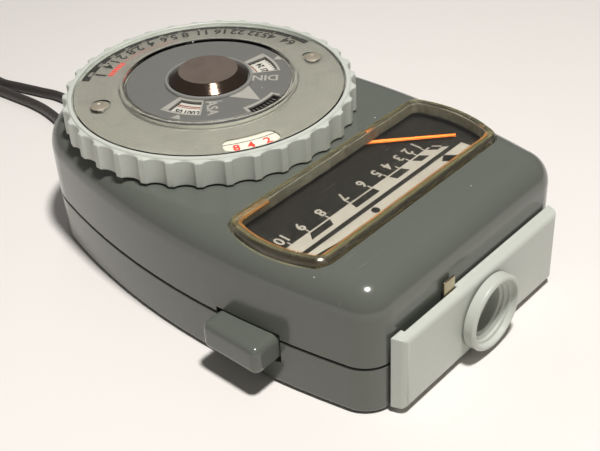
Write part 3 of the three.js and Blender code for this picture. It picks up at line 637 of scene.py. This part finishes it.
def paper_table():
    """A pale sheet that the meter lies on."""
    bm = bmesh.new()
    bmesh.ops.create_grid(bm, x_segments=1, y_segments=1, size=3)
    bmesh.ops.translate(bm, vec=(0, 0, -0.00002), verts=bm.verts)
    mesh = bpy.data.meshes.new("table")
    bm.to_mesh(mesh)
    bm.free()
    made, tree, shader = material("table_paper")
    place = add(tree, "TexCoord").outputs["Object"]
    cloud = add(tree, "TexNoise", {"Vector": place, "Scale": 9.0, "Detail": 5.0}).outputs[0]
    fibre = add(tree, "TexNoise", {"Vector": place, "Scale": 1500.0, "Detail": 3.0}).outputs[0]
    paper = mixed(tree, cloud, paint(236, 233, 230), paint(230, 226, 222))
    tree.links.new(paper, shader.inputs["Base Color"])
    shader.inputs["Roughness"].default_value = 0.7
    raise_grain(tree, shader, fibre, 0.1, 0.05)
    mesh.materials.append(made)
    table = bpy.data.objects.new("table", mesh)
    scene.collection.objects.link(table)


def soft_light(name, place, shape, size, power, colour=(1, 1, 1)):
    """A panel of light that faces the origin."""
    light = bpy.data.lights.new(name, "AREA")
    light.shape = shape
    light.size = size
    light.energy = power
    light.color = colour
    panel = bpy.data.objects.new(name, light)
    panel.location = place
    panel.rotation_mode = "QUATERNION"
    panel.rotation_quaternion = place.to_track_quat("Z", "Y")
    panel.visible_transmission = False
    scene.collection.objects.link(panel)
    return panel


def lighting():
    """A lamp above the front, a weak fill behind and an even pale surround."""
    soft_light("lamp", LAMP_PLACE, "DISK", LAMP_SIZE, LAMP_POWER, LAMP_COLOUR)
    fill = soft_light("fill", FILL_PLACE, "SQUARE", FILL_SIZE, FILL_POWER)
    fill.visible_glossy = False
    world = bpy.data.worlds.new("surround")
    world.use_nodes = True
    surround = world.node_tree.nodes["Background"]
    surround.inputs["Color"].default_value = SURROUND_COLOUR
    surround.inputs["Strength"].default_value = SURROUND_STRENGTH
    scene.world = world
    scene.view_settings.view_transform = "Standard"


# ---------------------------------------------------------------- housing

WALL = 1.8                               # thickness of the housing's sides and floor
ROOF = 1.5                               # thickness of its top
TOP_RADIUS = 4.8
BOTTOM_RADIUS = 1.0
GAP = 0.3                                # play round a part in its opening
housing_low, housing_high = box("upper_housing")
TOP = housing_high.z
SEAM = housing_low.z
BASE_TOP = box("lower_housing")[1].z
FRONT = housing_low.y
SIDE = housing_high.x


def housing_outline(inset=0.0, steps=14):
    """Tangent arcs round the housing: front corner, long side, rear corner and rear crown, mirrored."""
    corner_radius, side_radius, rear_radius, crown_radius = 5.5, 133.4, 16.0, 40.0
    corner = Vector((19.07, FRONT + corner_radius))
    side = Vector((SIDE - side_radius, -21.2))
    rear_start = math.radians(15.66)
    rear = side + (side_radius - rear_radius) * Vector((math.cos(rear_start), math.sin(rear_start)))
    crown = Vector((0, rear.y - math.sqrt((crown_radius - rear_radius) ** 2 - rear.x ** 2)))
    corner_turn = math.atan2(corner.y - side.y, corner.x - side.x)
    crown_turn = math.atan2(rear.y - crown.y, rear.x)
    arcs = [(corner, corner_radius, -math.pi / 2, corner_turn), (side, side_radius, corner_turn, rear_start),
            (rear, rear_radius, rear_start, crown_turn), (crown, crown_radius, crown_turn, math.pi / 2)]
    right = []
    for centre, radius, start, end in arcs:
        for i in range(1 if right else 0, steps + 1):
            angle = start + (end - start) * i / steps
            right.append((centre.x + (radius - inset) * math.cos(angle),
                          centre.y + (radius - inset) * math.sin(angle)))
    return right + [(-x, y) for x, y in reversed(right[:-1])]


WINDOW_WALL = 1.1                        # thickness of the window's rim
WINDOW_SKIN = 0.9                        # thickness of its pane
WINDOW_SEAT = 21.4                       # height of the ledge that carries the window


def window_outline(inset=0.0, corner=2.8, steps=8):
    """The window's outline: straight front and rear, bowed sides and rounded corners."""
    rear_y, front_y, rear_half, mid_half, front_half = -25.7, -44.2, 22.8, 24.4, 21.7
    depth = rear_y - front_y
    bow = mid_half - (front_half + rear_half) / 2

    def side(share):
        """A point on the bowed side and the angle that it faces."""
        across = 2 * share - 1
        x = front_half + (rear_half - front_half) * share + bow * (1 - across ** 2)
        slope = (rear_half - front_half - 4 * bow * across) / depth
        return Vector((x, front_y + depth * share)), math.degrees(math.atan2(-slope, 1))

    def corner_at(share):
        point, angle = side(share)
        return point - corner * Vector(polar(1, angle)), angle

    tuck = corner * 0.6 / depth
    front_centre, front_angle = corner_at(tuck)
    rear_centre, rear_angle = corner_at(1 - tuck)
    front_centre.y, rear_centre.y = front_y + corner, rear_y - corner
    radius = corner - inset
    front = [polar(radius, -90 + (90 + front_angle) * i / steps, front_centre) for i in range(steps)]
    middle = []
    for i in range(steps + 1):
        point, angle = side(tuck + (1 - 2 * tuck) * i / steps)
        middle.append(tuple(point - inset * Vector(polar(1, angle))))
    rear = [polar(radius, rear_angle + (90 - rear_angle) * i / steps, rear_centre)
            for i in range(1, steps + 1)]
    right = front + middle + rear
    return right + [(-x, y) for x, y in reversed(right)]


button_low, button_high = box("push_button")
BUTTON_Y = (-38.6, -27.2)
BUTTON_Z = (4.7, 9.7)
sensor_low, sensor_high = box("sensor_tube")
SENSOR_Z = (sensor_low.z + sensor_high.z) / 2
SENSOR_NECK = 4.5                        # radius of the barrel behind its rim
slider_low, slider_high = box("range_slider")


def shared_openings():
    """The sensor's bore and the button's opening, which cut both halves of the housing."""
    bore = along_y(disc_of(SENSOR_NECK + GAP, 0, 8), 0, -57, SENSOR_Z)
    slot = block((-34, BUTTON_Y[0] - GAP, BUTTON_Z[0] - GAP), (-22, BUTTON_Y[1] + GAP, BUTTON_Z[1] + GAP))
    return bore, slot


def upper_housing():
    shell = plate_of(housing_outline(), SEAM, TOP)
    soften(shell, level_edges(shell, TOP), TOP_RADIUS, 12)
    soften(shell, level_edges(shell, SEAM), 0.25, 3)
    hollow = plate_of(housing_outline(WALL), SEAM - 1, TOP - ROOF)
    soften(hollow, level_edges(hollow, TOP - ROOF), TOP_RADIUS - ROOF, 6)
    window_seat = plate_of(window_outline(-GAP), WINDOW_SEAT, TOP + 2)
    window_light = plate_of(window_outline(WINDOW_WALL), 18, TOP + 2)
    bearing = disc_of(4.3, 18, TOP + 2)
    pin_slot = block((slider_low.x - 10.3, FRONT - 1, 10.8), (slider_high.x + 0.5, FRONT + 4, 12.8))
    shell = cut(shell, hollow, window_seat, window_light, bearing, pin_slot, *shared_openings())
    finish_piece("housing_cover", shell, "housing", "housing", ["upper_housing"], edge=0.12)


def lower_housing():
    shell = plate_of(housing_outline(), 0, BASE_TOP)
    soften(shell, level_edges(shell, 0), BOTTOM_RADIUS, 5)
    soften(shell, level_edges(shell, BASE_TOP), 0.3, 3)
    hollow = plate_of(housing_outline(WALL), WALL, BASE_TOP + 1)
    soften(hollow, level_edges(hollow, WALL), 0.6, 2)
    centres = [centre_of(f"housing_screw_{i}") for i in (1, 2, 3)]
    cell = centre_of("battery_cover")
    zero = centre_of("zero_adjust_screw")
    posts = [disc_of(2.4, 1, 8.4, 32, centre) for centre in centres]
    well = disc_of(9.8, 1, 8.4, 64, cell)
    boss = disc_of(3.6, 1, 2.6, 48, zero)
    shell = cut(shell, hollow)
    shell = fuse(shell, *posts, well, boss)
    holes = [disc_of(2.2, -1, 1.8, 48, centre) for centre in centres]
    bores = [disc_of(1.2, -1, 9, 32, centre) for centre in centres]
    anchor = block((-4.7, 24, 1.5), (4.7, 31, 5.9))
    shell = cut(shell, *holes, *bores, disc_of(9.0, -1, 1.8, 96, cell), disc_of(8.3, 1, 9, 96, cell),
                disc_of(2.3, -1, 4, 48, zero), anchor, *shared_openings())
    finish_piece("housing_base", shell, "housing", "housing", ["lower_housing"], edge=0.1)


# ---------------------------------------------------------------- window, scale and pointer

WINDOW_DROP = 0.8                        # how far the pane's top lies below the CAD window's
LINER_WALL = 0.16
BOND_WIDTH = 0.55


def window_lens():
    low, high = box("meter_window")
    top = high.z - WINDOW_DROP
    rim = plate_of(window_outline(), low.z, top)
    soften(rim, level_edges(rim, top), 0.7, 5)
    rim = cut(rim, plate_of(window_outline(WINDOW_WALL), low.z - 1, top + 1))
    pane = plate_of(window_outline(WINDOW_WALL + 0.02), top - WINDOW_SKIN, top)
    for face in rim.faces:
        face.material_index = 1
    for face in pane.faces:
        face.material_index = 0 if abs(face.normal.z) > 0.9 else 1
    piece = finish_piece("window_lens", joined([rim, pane]), "housing", "window_face",
                         ["meter_window"])
    piece.data.materials.append(finishes["window_wall"])
    under = top - WINDOW_SKIN - 0.03
    liner_inset = WINDOW_WALL + 0.04
    bond_inset = liner_inset + LINER_WALL
    liner = cut(plate_of(window_outline(liner_inset), low.z - 1.2, under),
                plate_of(window_outline(bond_inset), low.z - 3, top))
    finish_piece("window_liner", liner, "housing", "liner", edge=0.03)
    # The amber bond line runs only along the front and the left of the pane.
    bare = [block((-15, -32, low.z - 2), (30, -20, top)), block((18, -42, low.z - 2), (30, -20, top))]
    bond = cut(plate_of(window_outline(bond_inset), under - 0.3, under),
               plate_of(window_outline(bond_inset + BOND_WIDTH), low.z - 2, top), *bare)
    finish_piece("window_bond", bond, "housing", "bond")


SCALE_ROW = -34.2                        # y of the scale's base line
TICKS = [15.0, 13.0, 11.0, 8.2, 5.1, 1.1, -4.2, -9.2, -13.7, -17.8]       # x of each line
DIGITS = [15.2, 12.95, 10.5, 7.5, 4.7, 0.94, -3.8, -9.0, -13.7, -18.0]    # x of each number
PIVOT_Y = -17.2                          # y of the pointer's axis
PRINT_SHIFT = (-0.65, -0.6, 0)           # the print sits a little off the middle of its card


def fanned(x, y):
    """A point on the line from the pointer's axis through x on the base line, at another y."""
    return (x * (y - PIVOT_Y) / (SCALE_ROW - PIVOT_Y), y)


def scale_card():
    low, high = box("scale_plate")
    half = high.x + 1.8
    card = plate_of([(-half, low.y), (half, low.y), (half, high.y), (-half, high.y)], low.z, high.z)
    soften(card, upright_edges(card), 1.5, 5)
    finish_piece("scale_card", card, "housing", "black_paint", ["scale_plate"], edge=0.08)
    z = high.z
    left, right = TICKS[-1] - 4, TICKS[0]
    white = [lettering(str(i + 1), DIGIT_HEIGHT, -90, (x, -32.3), z, 0.92) for i, x in enumerate(DIGITS)]
    white += [mark([(x - 0.12, -33.4), (x + 0.12, -33.4), (x + 0.12, SCALE_ROW), (x - 0.12, SCALE_ROW)], z)
              for x in TICKS]
    white.append(mark([(left, -34.5), (16.2, -34.5), (16.0, SCALE_ROW), (left, SCALE_ROW)], z))
    for i in range(0, len(TICKS) - 1, 2):
        here, there = TICKS[i], TICKS[i + 1] if i < 8 else left
        white.append(mark([fanned(there, -35.85), fanned(here, -35.85), fanned(here, -34.5),
                           fanned(there, -34.5)], z))
    white.append(mark([(left, -36.7), (right + 3.4, -36.7), (right + 2.6, -35.85), (left, -35.85)], z))
    white.append(mark([(left, -37.6), (left, -38.1), (-11.65, -39.5), (-5, -41.4), (0, -42.8),
                       (20.9, -42.8), (20.7, -37.6)], z))
    white.append(mark([(16.9, -34.4), (17.9, -35.6), (17.6, -35.75), (16.6, -34.5)], z))
    print_piece("scale_print_white", white, "housing", "white_ink", PRINT_SHIFT)
    top = z + OVERPRINT
    black = [mark([polar(0.72, 15 * i, (-3.3, -38.55)) for i in range(24)], top),
             mark([(15.7, -37.6), (14.0, -38.4), (15.4, -40.2), (17.3, -39.7)], top),
             mark([(12.1, -39.4), (7.0, -42.4), (12.4, -42.4), (13.1, -40.4)], top)]
    print_piece("scale_print_black", black, "housing", "black_ink", PRINT_SHIFT)


def meter_pointer():
    low, high = box("needle")
    rest = -43.4
    arm = plate_of([(5.6, -0.42), (28.3, -0.24), (28.3, 0.24), (5.6, 0.42)], high.z - 0.25, high.z)
    riser = block((5.5, -0.4, low.z), (6.0, 0.4, high.z))
    foot = block((0.2, -0.4, low.z), (6.0, 0.4, low.z + 0.3))
    hub = disc_of(1.1, low.z, low.z + 0.4, 48)
    tail = block((-4.2, -0.3, low.z), (-0.2, 0.3, low.z + 0.25))
    weight = disc_of(0.8, low.z, low.z + 0.5, 32, (-3.8, 0))
    pointer = cut(fuse(arm, riser, foot, hub, tail, weight), disc_of(0.65, low.z - 1, low.z + 2, 32))
    bmesh.ops.rotate(pointer, matrix=Matrix.Rotation(math.radians(rest), 3, "Z"), verts=pointer.verts)
    bmesh.ops.translate(pointer, vec=(0, PIVOT_Y, 0), verts=pointer.verts)
    finish_piece("pointer_arm", pointer, "meter_needle", "pointer", ["needle"], edge=0.06)


# ---------------------------------------------------------------- front plate, sensor, slider, button

def front_plate():
    low, high = box("front_plate")
    front_half, back_half = 19.86, high.x
    plate = plate_of([(-front_half, low.y), (front_half, low.y), (back_half, high.y), (-back_half, high.y)],
                     low.z, high.z)
    front_edges = [edge for edge in plate.edges if all(abs(v.co.y - low.y) < 0.01 for v in edge.verts)]
    soften(plate, front_edges, 0.95, 5)
    bore = along_y(disc_of(SENSOR_NECK + GAP, 0, 12), 0, -62, SENSOR_Z)
    guide = block((slider_low.x - 9.8, -55.5, 10.4), (slider_high.x + GAP, -50, 20))
    finish_piece("sensor_plate", cut(plate, bore, guide), "housing", "pale", ["front_plate"],
                 edge=0.15)


def sensor_barrel():
    low, high = box("sensor_tube")
    length = high.y - low.y
    rim = (high.z - low.z) / 2
    profile = [(5.55, 0), (rim - 0.3, 0), (rim, 0.3), (rim, 1.9), (SENSOR_NECK, 1.9), (SENSOR_NECK, length),
               (3.9, length), (3.9, 5.0), (3.2, 5.0), (3.2, 4.0), (3.9, 4.0), (3.9, 2.2), (4.35, 2.0),
               (4.35, 1.6), (4.9, 1.45), (4.9, 1.0), (5.45, 0.9), (5.55, 0)]
    barrel = along_y(turned(profile, 120), 0, low.y, SENSOR_Z)
    finish_piece("sensor_barrel", barrel, "housing", "pale", ["sensor_tube"], edge=0.1)
    front = box("photocell")[0].y
    disc = turned([(0, 0), (3.4, 0), (3.6, 0.2), (3.6, 2.2), (3.4, 2.4), (0, 2.4)], 64)
    face = along_y(disc, 0, front, SENSOR_Z)
    track = [along_y(block((-2.6, i * 0.8 - 2.1, -0.06), (2.6, i * 0.8 - 1.7, -0.01)), 0, front, SENSOR_Z)
             for i in range(6)]
    leads = [along_y(disc_of(0.3, 2.4, 6.8, 16), x, front, SENSOR_Z) for x in (-1.3, 1.3)]
    finish_piece("cell_disc", fuse(face, *leads), "housing", "cell", ["photocell"], edge=0.05)
    finish_piece("cell_tracks", joined(track), "housing", "tab")


def range_tab():
    low, high = slider_low, slider_high
    blade = block((low.x, -55.35, 10.8), (high.x, -54.95, high.z))
    soften(blade, level_edges(blade, high.z), 0.2, 3)
    pin = along_y(disc_of(0.7, 0, 5.0, 32), (low.x + high.x) / 2, -55.3, 11.8)
    finish_piece("range_blade", fuse(blade, pin), "range_tab", "tab", ["range_slider"], edge=0.06)


def release_button():
    low, high = button_low, button_high
    (y0, y1), (z0, z1) = BUTTON_Y, BUTTON_Z
    flange_x = -24.2
    cap = block((low.x, y0, z0), (flange_x + 0.5, y1, z1))
    outer = [edge for edge in cap.edges if all(vert.co.x < low.x + 0.01 for vert in edge.verts)]
    ridges = [edge for edge in cap.edges if lies_along(edge, 0)]
    soften(cap, outer + ridges, 1.3, 7)
    flange = block((flange_x, y0 - 1.2, z0 - 1.2), (flange_x + 1, y1 + 1.2, z1 + 1.0))
    nose = disc_of(1.2, 0, high.x - flange_x, 32)
    bmesh.ops.rotate(nose, matrix=Matrix.Rotation(math.pi / 2, 3, "Y"), verts=nose.verts)
    bmesh.ops.translate(nose, vec=(flange_x, (y0 + y1) / 2, (z0 + z1) / 2), verts=nose.verts)
    finish_piece("button_cap", fuse(cap, flange, nose), "button", "housing", ["push_button"])


def button_coil():
    """The return spring behind the button, built at its rest length; the real spring shortens as the button
    goes in.
    """
    low, high = box("button_spring")
    wire, radius, turns, steps = 0.25, 2.0, 6, 16
    middle = ((low.y + high.y) / 2, (low.z + high.z) / 2)
    coil = bmesh.new()
    bmesh.ops.create_circle(coil, cap_ends=False, segments=10, radius=wire)
    bmesh.ops.translate(coil, vec=(low.x + wire, middle[0] + radius, middle[1]), verts=coil.verts)
    rise = (high.x - low.x - 2 * wire) / (turns * steps)
    bmesh.ops.spin(coil, geom=coil.verts[:] + coil.edges[:], cent=(0, *middle), axis=(1, 0, 0),
                   dvec=(rise, 0, 0), angle=2 * math.pi * turns, steps=turns * steps, use_merge=False,
                   use_duplicate=False)
    ends = [edge for edge in coil.edges if edge.is_boundary]
    bmesh.ops.holes_fill(coil, edges=ends, sides=0)
    bmesh.ops.recalc_face_normals(coil, faces=coil.faces)
    piece = finish_piece("button_coil", coil, "housing", "steel", ["button_spring"])
    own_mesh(piece)


def battery_lid():
    low, high = box("battery_cover")
    centre = centre_of("battery_cover")
    radius = (high.x - low.x) / 2
    profile = [(0, low.z), (radius - 0.35, low.z), (radius, low.z + 0.35), (radius, high.z), (0, high.z)]
    lid = turned(profile, 96, centre)
    slot = block((centre[0] - 4.5, centre[1] - 0.8, -1), (centre[0] + 4.5, centre[1] + 0.8, 0.9))
    soften(slot, upright_edges(slot), 0.7, 5)
    grip = [disc_of(0.45, low.z - 1, low.z + 0.25, 16, polar(7.2, 15 + 30 * i, centre)) for i in range(12)]
    finish_piece("battery_lid", cut(lid, slot, *grip), "battery_door", "housing",
                 ["battery_cover"], edge=0.08)


# ---------------------------------------------------------------- calculator dial

ring_low, ring_high = box("dial_ring")
FLUTES = 34
FLUTE_DEPTH = 0.8
FLUTE_SHARE = 0.77                       # the rest of each pitch is the land between two flutes
FLUTE_FULLNESS = 0.6                     # below 1 the flute has a broad floor
RIM_RADIUS = 25.0
RIM_TOP = 27.2
RING_BORE = 23.3


def fluted_outline(steps=12):
    points = []
    pitch = 360 / FLUTES
    for flute in range(FLUTES):
        for i in range(steps + 1):
            share = i / steps
            dip = FLUTE_DEPTH * math.sin(math.pi * share) ** FLUTE_FULLNESS
            points.append(polar(RIM_RADIUS - dip, pitch * (flute + FLUTE_SHARE * share)))
    return points


def fluted_ring():
    rim = plate_of(fluted_outline(), ring_low.z, RIM_TOP)
    soften(rim, level_edges(rim, RIM_TOP), 0.35, 3)
    soften(rim, level_edges(rim, ring_low.z), 0.25, 2)
    lip = turned([(RING_BORE, RIM_TOP - 0.3), (24.1, RIM_TOP - 0.3), (24.1, RIM_TOP),
                  (23.95, ring_high.z - 0.05), (23.8, ring_high.z), (23.4, ring_high.z),
                  (RING_BORE, ring_high.z - 0.08), (RING_BORE, RIM_TOP - 0.3)], FINE_STEPS)
    cup = disc_of(RING_BORE, ring_low.z + 1, RIM_TOP + 2, FINE_STEPS)
    ring = cut(rim, cup, disc_of(6.3, 20, 26))
    ring = fuse(ring, lip)
    finish_piece("fluted_ring", ring, "dial", "pale", ["dial_ring"], sharp=28)


PLATE_TOP = 26.8                         # height of the printed aperture plate
LENS_SKIN = 0.5
RIVETS = ["cover_rivet_1", "cover_rivet_2"]


def dial_lens():
    top = box("dial_cover")[1].z
    outer = RING_BORE - 0.06
    inner = 14.45
    foot = PLATE_TOP + 0.05
    crown = [(outer - 0.2, 27.42), (21.0, 27.68), (19.0, 27.9), (17.0, 28.06), (15.6, top)]
    under = [(radius, z - LENS_SKIN) for radius, z in reversed(crown)]
    profile = [(inner, foot), (inner + 0.5, foot), (inner + 0.5, top - LENS_SKIN - 0.1), *under[1:],
               (outer - 0.12, 27.42 - LENS_SKIN), (outer, 27.54 - LENS_SKIN), (outer, 27.25), *crown[:-1],
               (15.5, top), (15.25, 28.34), (14.95, 28.42), (14.65, 28.36), (inner, 28.15), (inner, foot)]
    lens = turned(profile, FINE_STEPS)
    stem = [(0, PLATE_TOP - 0.22), (0.6, PLATE_TOP - 0.22), (0.6, 27.76), (1.45, 27.76), (1.5, 27.86),
            (1.3, 28.0), (0.9, 28.08), (0.5, 28.1), (0.4, 28.02), (0, 28.0)]
    recess = []
    for index, node in enumerate(RIVETS, 1):
        centre = centre_of(node)
        recess += [disc_of(0.9, 25, 29, 32, centre), disc_of(1.9, 27.74, 29, 48, centre)]
        finish_piece(f"rivet_{index}", turned(stem, 48, centre), "dial", "rivet", [node])
    finish_piece("dial_lens", cut(lens, *recess), "dial", "clear", ["dial_cover"], edge=0.08)


SHUTTER_TOP = 26.45                      # height of the shutter disc under it
# Each f-number and the angle at which it stands.
F_NUMBERS = {"1": 117.4, "1.4": 106.0, "2": 97.0, "2.8": 87.6, "4": 77.2, "5.6": 67.1, "8": 58.1,
             "11": 48.9, "16": 39.6, "22": 30.2, "32": 20.6, "45": 12.3, "64": -0.2}
SHUTTER = ["1000", "500", "250", "125", "60", "30", "15", "8", "4", "2", "1", "2", "4"]


def aperture_plate():
    outer = box("aperture_plate")[1].x
    plate = ring_of(2.6, outer, PLATE_TOP - 0.25, PLATE_TOP, FINE_STEPS)
    holes = [disc_of(0.9, 25, 27, 24, centre_of(node)) for node in RIVETS]
    reading = sector(18.6, 22.2, -129, -103, 25, 27)
    soften(reading, upright_edges(reading), 1.4, 5)
    plate = cut(plate, sector(21.2, 24, -8, 124, 25, 27), reading, *holes)
    finish_piece("f_number_plate", plate, "dial", "silver", ["aperture_plate"], edge=0.05)
    z = PLATE_TOP
    black = [lettering(text, DIGIT_HEIGHT, angle + 180, polar(19.85, angle), z)
             for text, angle in F_NUMBERS.items()]
    black += [tick(21.05, 0.25, 0.16, angle, z) for angle in F_NUMBERS.values()]
    print_piece("f_number_print", black, "dial", "black_ink")
    red = [arc_mark(18.35, 18.42, 62, 100, z)]
    red += [tick(18.0, 1.0, 0.36, 103 + 2.3 * i, z) for i in range(7)]
    print_piece("cine_print", red, "dial", "red_ink")


def shutter_disc():
    low, high = box("shutter_scale_disc")
    disc = ring_of(2.3, high.x, low.z, SHUTTER_TOP, FINE_STEPS)
    finish_piece("shutter_disc", disc, "film_dial", "black_paint", ["shutter_scale_disc"],
                 edge=0.05)
    z = SHUTTER_TOP
    first, pitch = 116, 9.4
    white = [lettering(text, 0.7, 180 + first - pitch * i, polar(21.95, first - pitch * i), z, 0.9)
             for i, text in enumerate(SHUTTER)]
    white += [tick(22.7, 0.25, 0.08, first - pitch * i / 2, z) for i in range(26)]
    print_piece("shutter_print", white, "film_dial", "white_ink")
    strip = arc_mark(17.4, 22.9, -150, -92, z)
    print_piece("filter_strip", [strip], "film_dial", "strip_ink")
    top = z + OVERPRINT
    red = [lettering(text, 1.75, angle + 180, polar(20.9, angle), top)
           for text, angle in (("8", -123.2), ("4", -116.8), ("2", -108.9))]
    print_piece("filter_print_red", red, "film_dial", "red_ink")
    line = arc_mark(19.6, 19.75, -148, -94, top)
    print_piece("filter_print_line", [line], "film_dial", "black_ink")


FILM_CARD_TOP = 27.65
SPEED_FRAMES = {(-175, -141): (-169, -143), (-39, -5): (-37, -11)}    # angles of frame and window


def film_scale():
    outer = box("film_speed_scale")[1].x
    card = ring_of(2.6, outer, PLATE_TOP + 0.05, FILM_CARD_TOP, 96)
    finish_piece("film_scale_card", card, "dial", "white_card", ["film_speed_scale"], edge=0.05)
    z = FILM_CARD_TOP
    speeds = ["12", "25", "50", "100", "200", "400", "800"]
    black = [lettering(text, 1.2, angle + 180, polar(10.6, angle), z, 0.85)
             for text, angle in zip(speeds, range(-185, -115, 11))]
    black += [lettering(str(12 + 3 * i), 1.2, angle + 180, polar(9.9, angle), z, 0.85)
              for i, angle in enumerate(range(-62, 12, 11))]
    black += [tick(11.6, 0.4, 0.13, -190 + 3.6 * i, z) for i in range(60)]
    black.append(arc_mark(12.4, 14.0, -112, -70, z))
    print_piece("film_scale_print", black, "dial", "black_ink")
    rust = [arc_mark(9.2, 9.35, -186, -118, z), arc_mark(8.7, 8.95, -186, -118, z),
            arc_mark(8.4, 8.6, -62, 6, z)]
    print_piece("film_scale_arcs", rust, "dial", "rust_ink")
    light = [tick(13.2, 0.8, 0.16, -108 + 3.4 * i, z + INK) for i in range(10)]
    print_piece("film_scale_ticks", light, "dial", "white_ink")


def film_disc():
    high = box("film_speed_disc")[1]
    radius = high.x
    under = FILM_CARD_TOP + 0.2
    disc = turned([(2.3, under), (radius, under), (radius, high.z - 0.15), (radius - 0.15, high.z),
                   (2.3, high.z), (2.3, under)], FINE_STEPS)
    windows = [sector(8.0, 11.8, *window, 27, 29) for window in SPEED_FRAMES.values()]
    windows.append(sector(12.7, 15, -105, -78, 27, 29))
    finish_piece("film_disc", cut(disc, *windows), "film_dial", "charcoal", ["film_speed_disc"],
                 edge=0.06)
    z = high.z
    silver = []
    for (start, end), (window_start, window_end) in SPEED_FRAMES.items():
        silver += [arc_mark(7.2, 7.95, start, end, z), arc_mark(11.85, 12.3, start, end, z),
                   arc_mark(7.9, 11.9, start, window_start - 0.3, z),
                   arc_mark(7.9, 11.9, window_end + 0.3, end, z)]
    silver += [arc_mark(12.1, 12.65, -107.6, -76, z), arc_mark(12.6, 13.8, -107.6, -105.3, z),
               arc_mark(12.6, 13.8, -77.7, -76, z)]
    silver.append(mark([(-2.7, -6.5), (0, -12.0), (2.6, -6.5)], z))
    for angle in (-157.7, -19.5):
        silver.append(mark([polar(12.4, angle), polar(13.8, angle + 3.6), polar(13.8, angle - 3.6)], z))
    silver.append(lettering("ASA", 1.9, -41, polar(10.1, -131.5), z))
    silver.append(lettering("DIN", 1.9, -141, polar(9.6, -51.5), z))
    print_piece("film_disc_print", silver, "film_dial", "silver_ink")


def hub_knob():
    low, high = box("hub_cap")
    outer = high.x
    knob = turned([(0, 29.3), (2.3, 29.3), (2.3, low.z), (outer - 0.1, low.z), (outer, low.z + 0.1),
                   (outer, 28.7), (5.15, 29.95), (5.05, 30.04), (4.9, high.z), (0, high.z)], FINE_STEPS)
    # Flat top faces take the lighter painted-reflection copy; the chamfer and sides take the darker
    # painted-shade copy of the same chrome.
    for face in knob.faces:
        face.material_index = 1 if face.normal.z < 0.9 else 0
    piece = finish_piece("hub_knob", knob, "film_dial", "knob", ["hub_cap"], edge=0.05)
    piece.data.materials.append(finishes["knob_side_painted_shade"])
    collar = turned([(6.9, 28.22), (7.45, 28.22), (7.5, 28.4), (7.4, 28.65), (7.2, 28.75), (7.0, 28.7),
                     (6.9, 28.5), (6.9, 28.22)], FINE_STEPS)
    finish_piece("hub_collar", collar, "film_dial", "chrome")


def cord_anchor():
    low, high = box("strap_anchor")
    block_low, block_high = 1.8, 5.6
    body = block((-4.4, 25.0, block_low), (4.4, high.y, block_high))
    rear = [edge for edge in body.edges if all(vert.co.y > high.y - 0.01 for vert in edge.verts)]
    soften(body, rear, 0.6, 4)
    flange = block((low.x, 23.6, 2.7), (high.x, 25.2, high.z))
    bores = [along_y(disc_of(CORD_RADIUS + GAP, 0, 10, 48), x, 20, CORD_HEIGHT)
             for x in (-CORD_SIDE, CORD_SIDE)]
    finish_piece("cord_anchor", cut(fuse(body, flange), *bores), "housing", "black_plastic",
                 ["strap_anchor"], edge=0.12)


# ---------------------------------------------------------------- CAD nodes that stay

KEPT_FINISH = {
    "steel": ["housing_screw_1", "housing_screw_2", "housing_screw_3", "plate_screw_left",
              "plate_screw_right", "sensor_clip", "battery", "movement_core", "movement_yoke",
              "upper_staff", "lower_staff", "dial_spindle", "wave_washer", "spindle_clip"],
    "brass": ["switch_blade_front", "switch_blade_rear", "battery_contact_lower", "battery_contact_upper",
              "upper_bridge", "lower_bridge", "upper_jewel_screw", "lower_jewel_screw", "upper_hairspring",
              "lower_hairspring", "zero_adjust_screw", "dial_bush", "bush_nut"],
    "black_plastic": ["range_switch", "switch_block", "battery_lead_minus"],
    "board": ["circuit_board"],
    "blue": ["trimmer_low", "trimmer_high"],
    "red": ["range_resistor", "battery_lead_plus"],
    "coil": ["moving_coil"],
    "clear": ["cell_window"],
}


def finish_kept_nodes():
    for finish, names in KEPT_FINISH.items():
        for name in names:
            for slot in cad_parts[name].material_slots:
                slot.material = finishes[finish]


place_camera()
wrist_lanyard()
paper_table()
lighting()
upper_housing()
lower_housing()
window_lens()
scale_card()
meter_pointer()
front_plate()
sensor_barrel()
range_tab()
release_button()
button_coil()
battery_lid()
fluted_ring()
dial_lens()
aperture_plate()
shutter_disc()
film_scale()
film_disc()
hub_knob()
cord_anchor()
finish_kept_nodes()
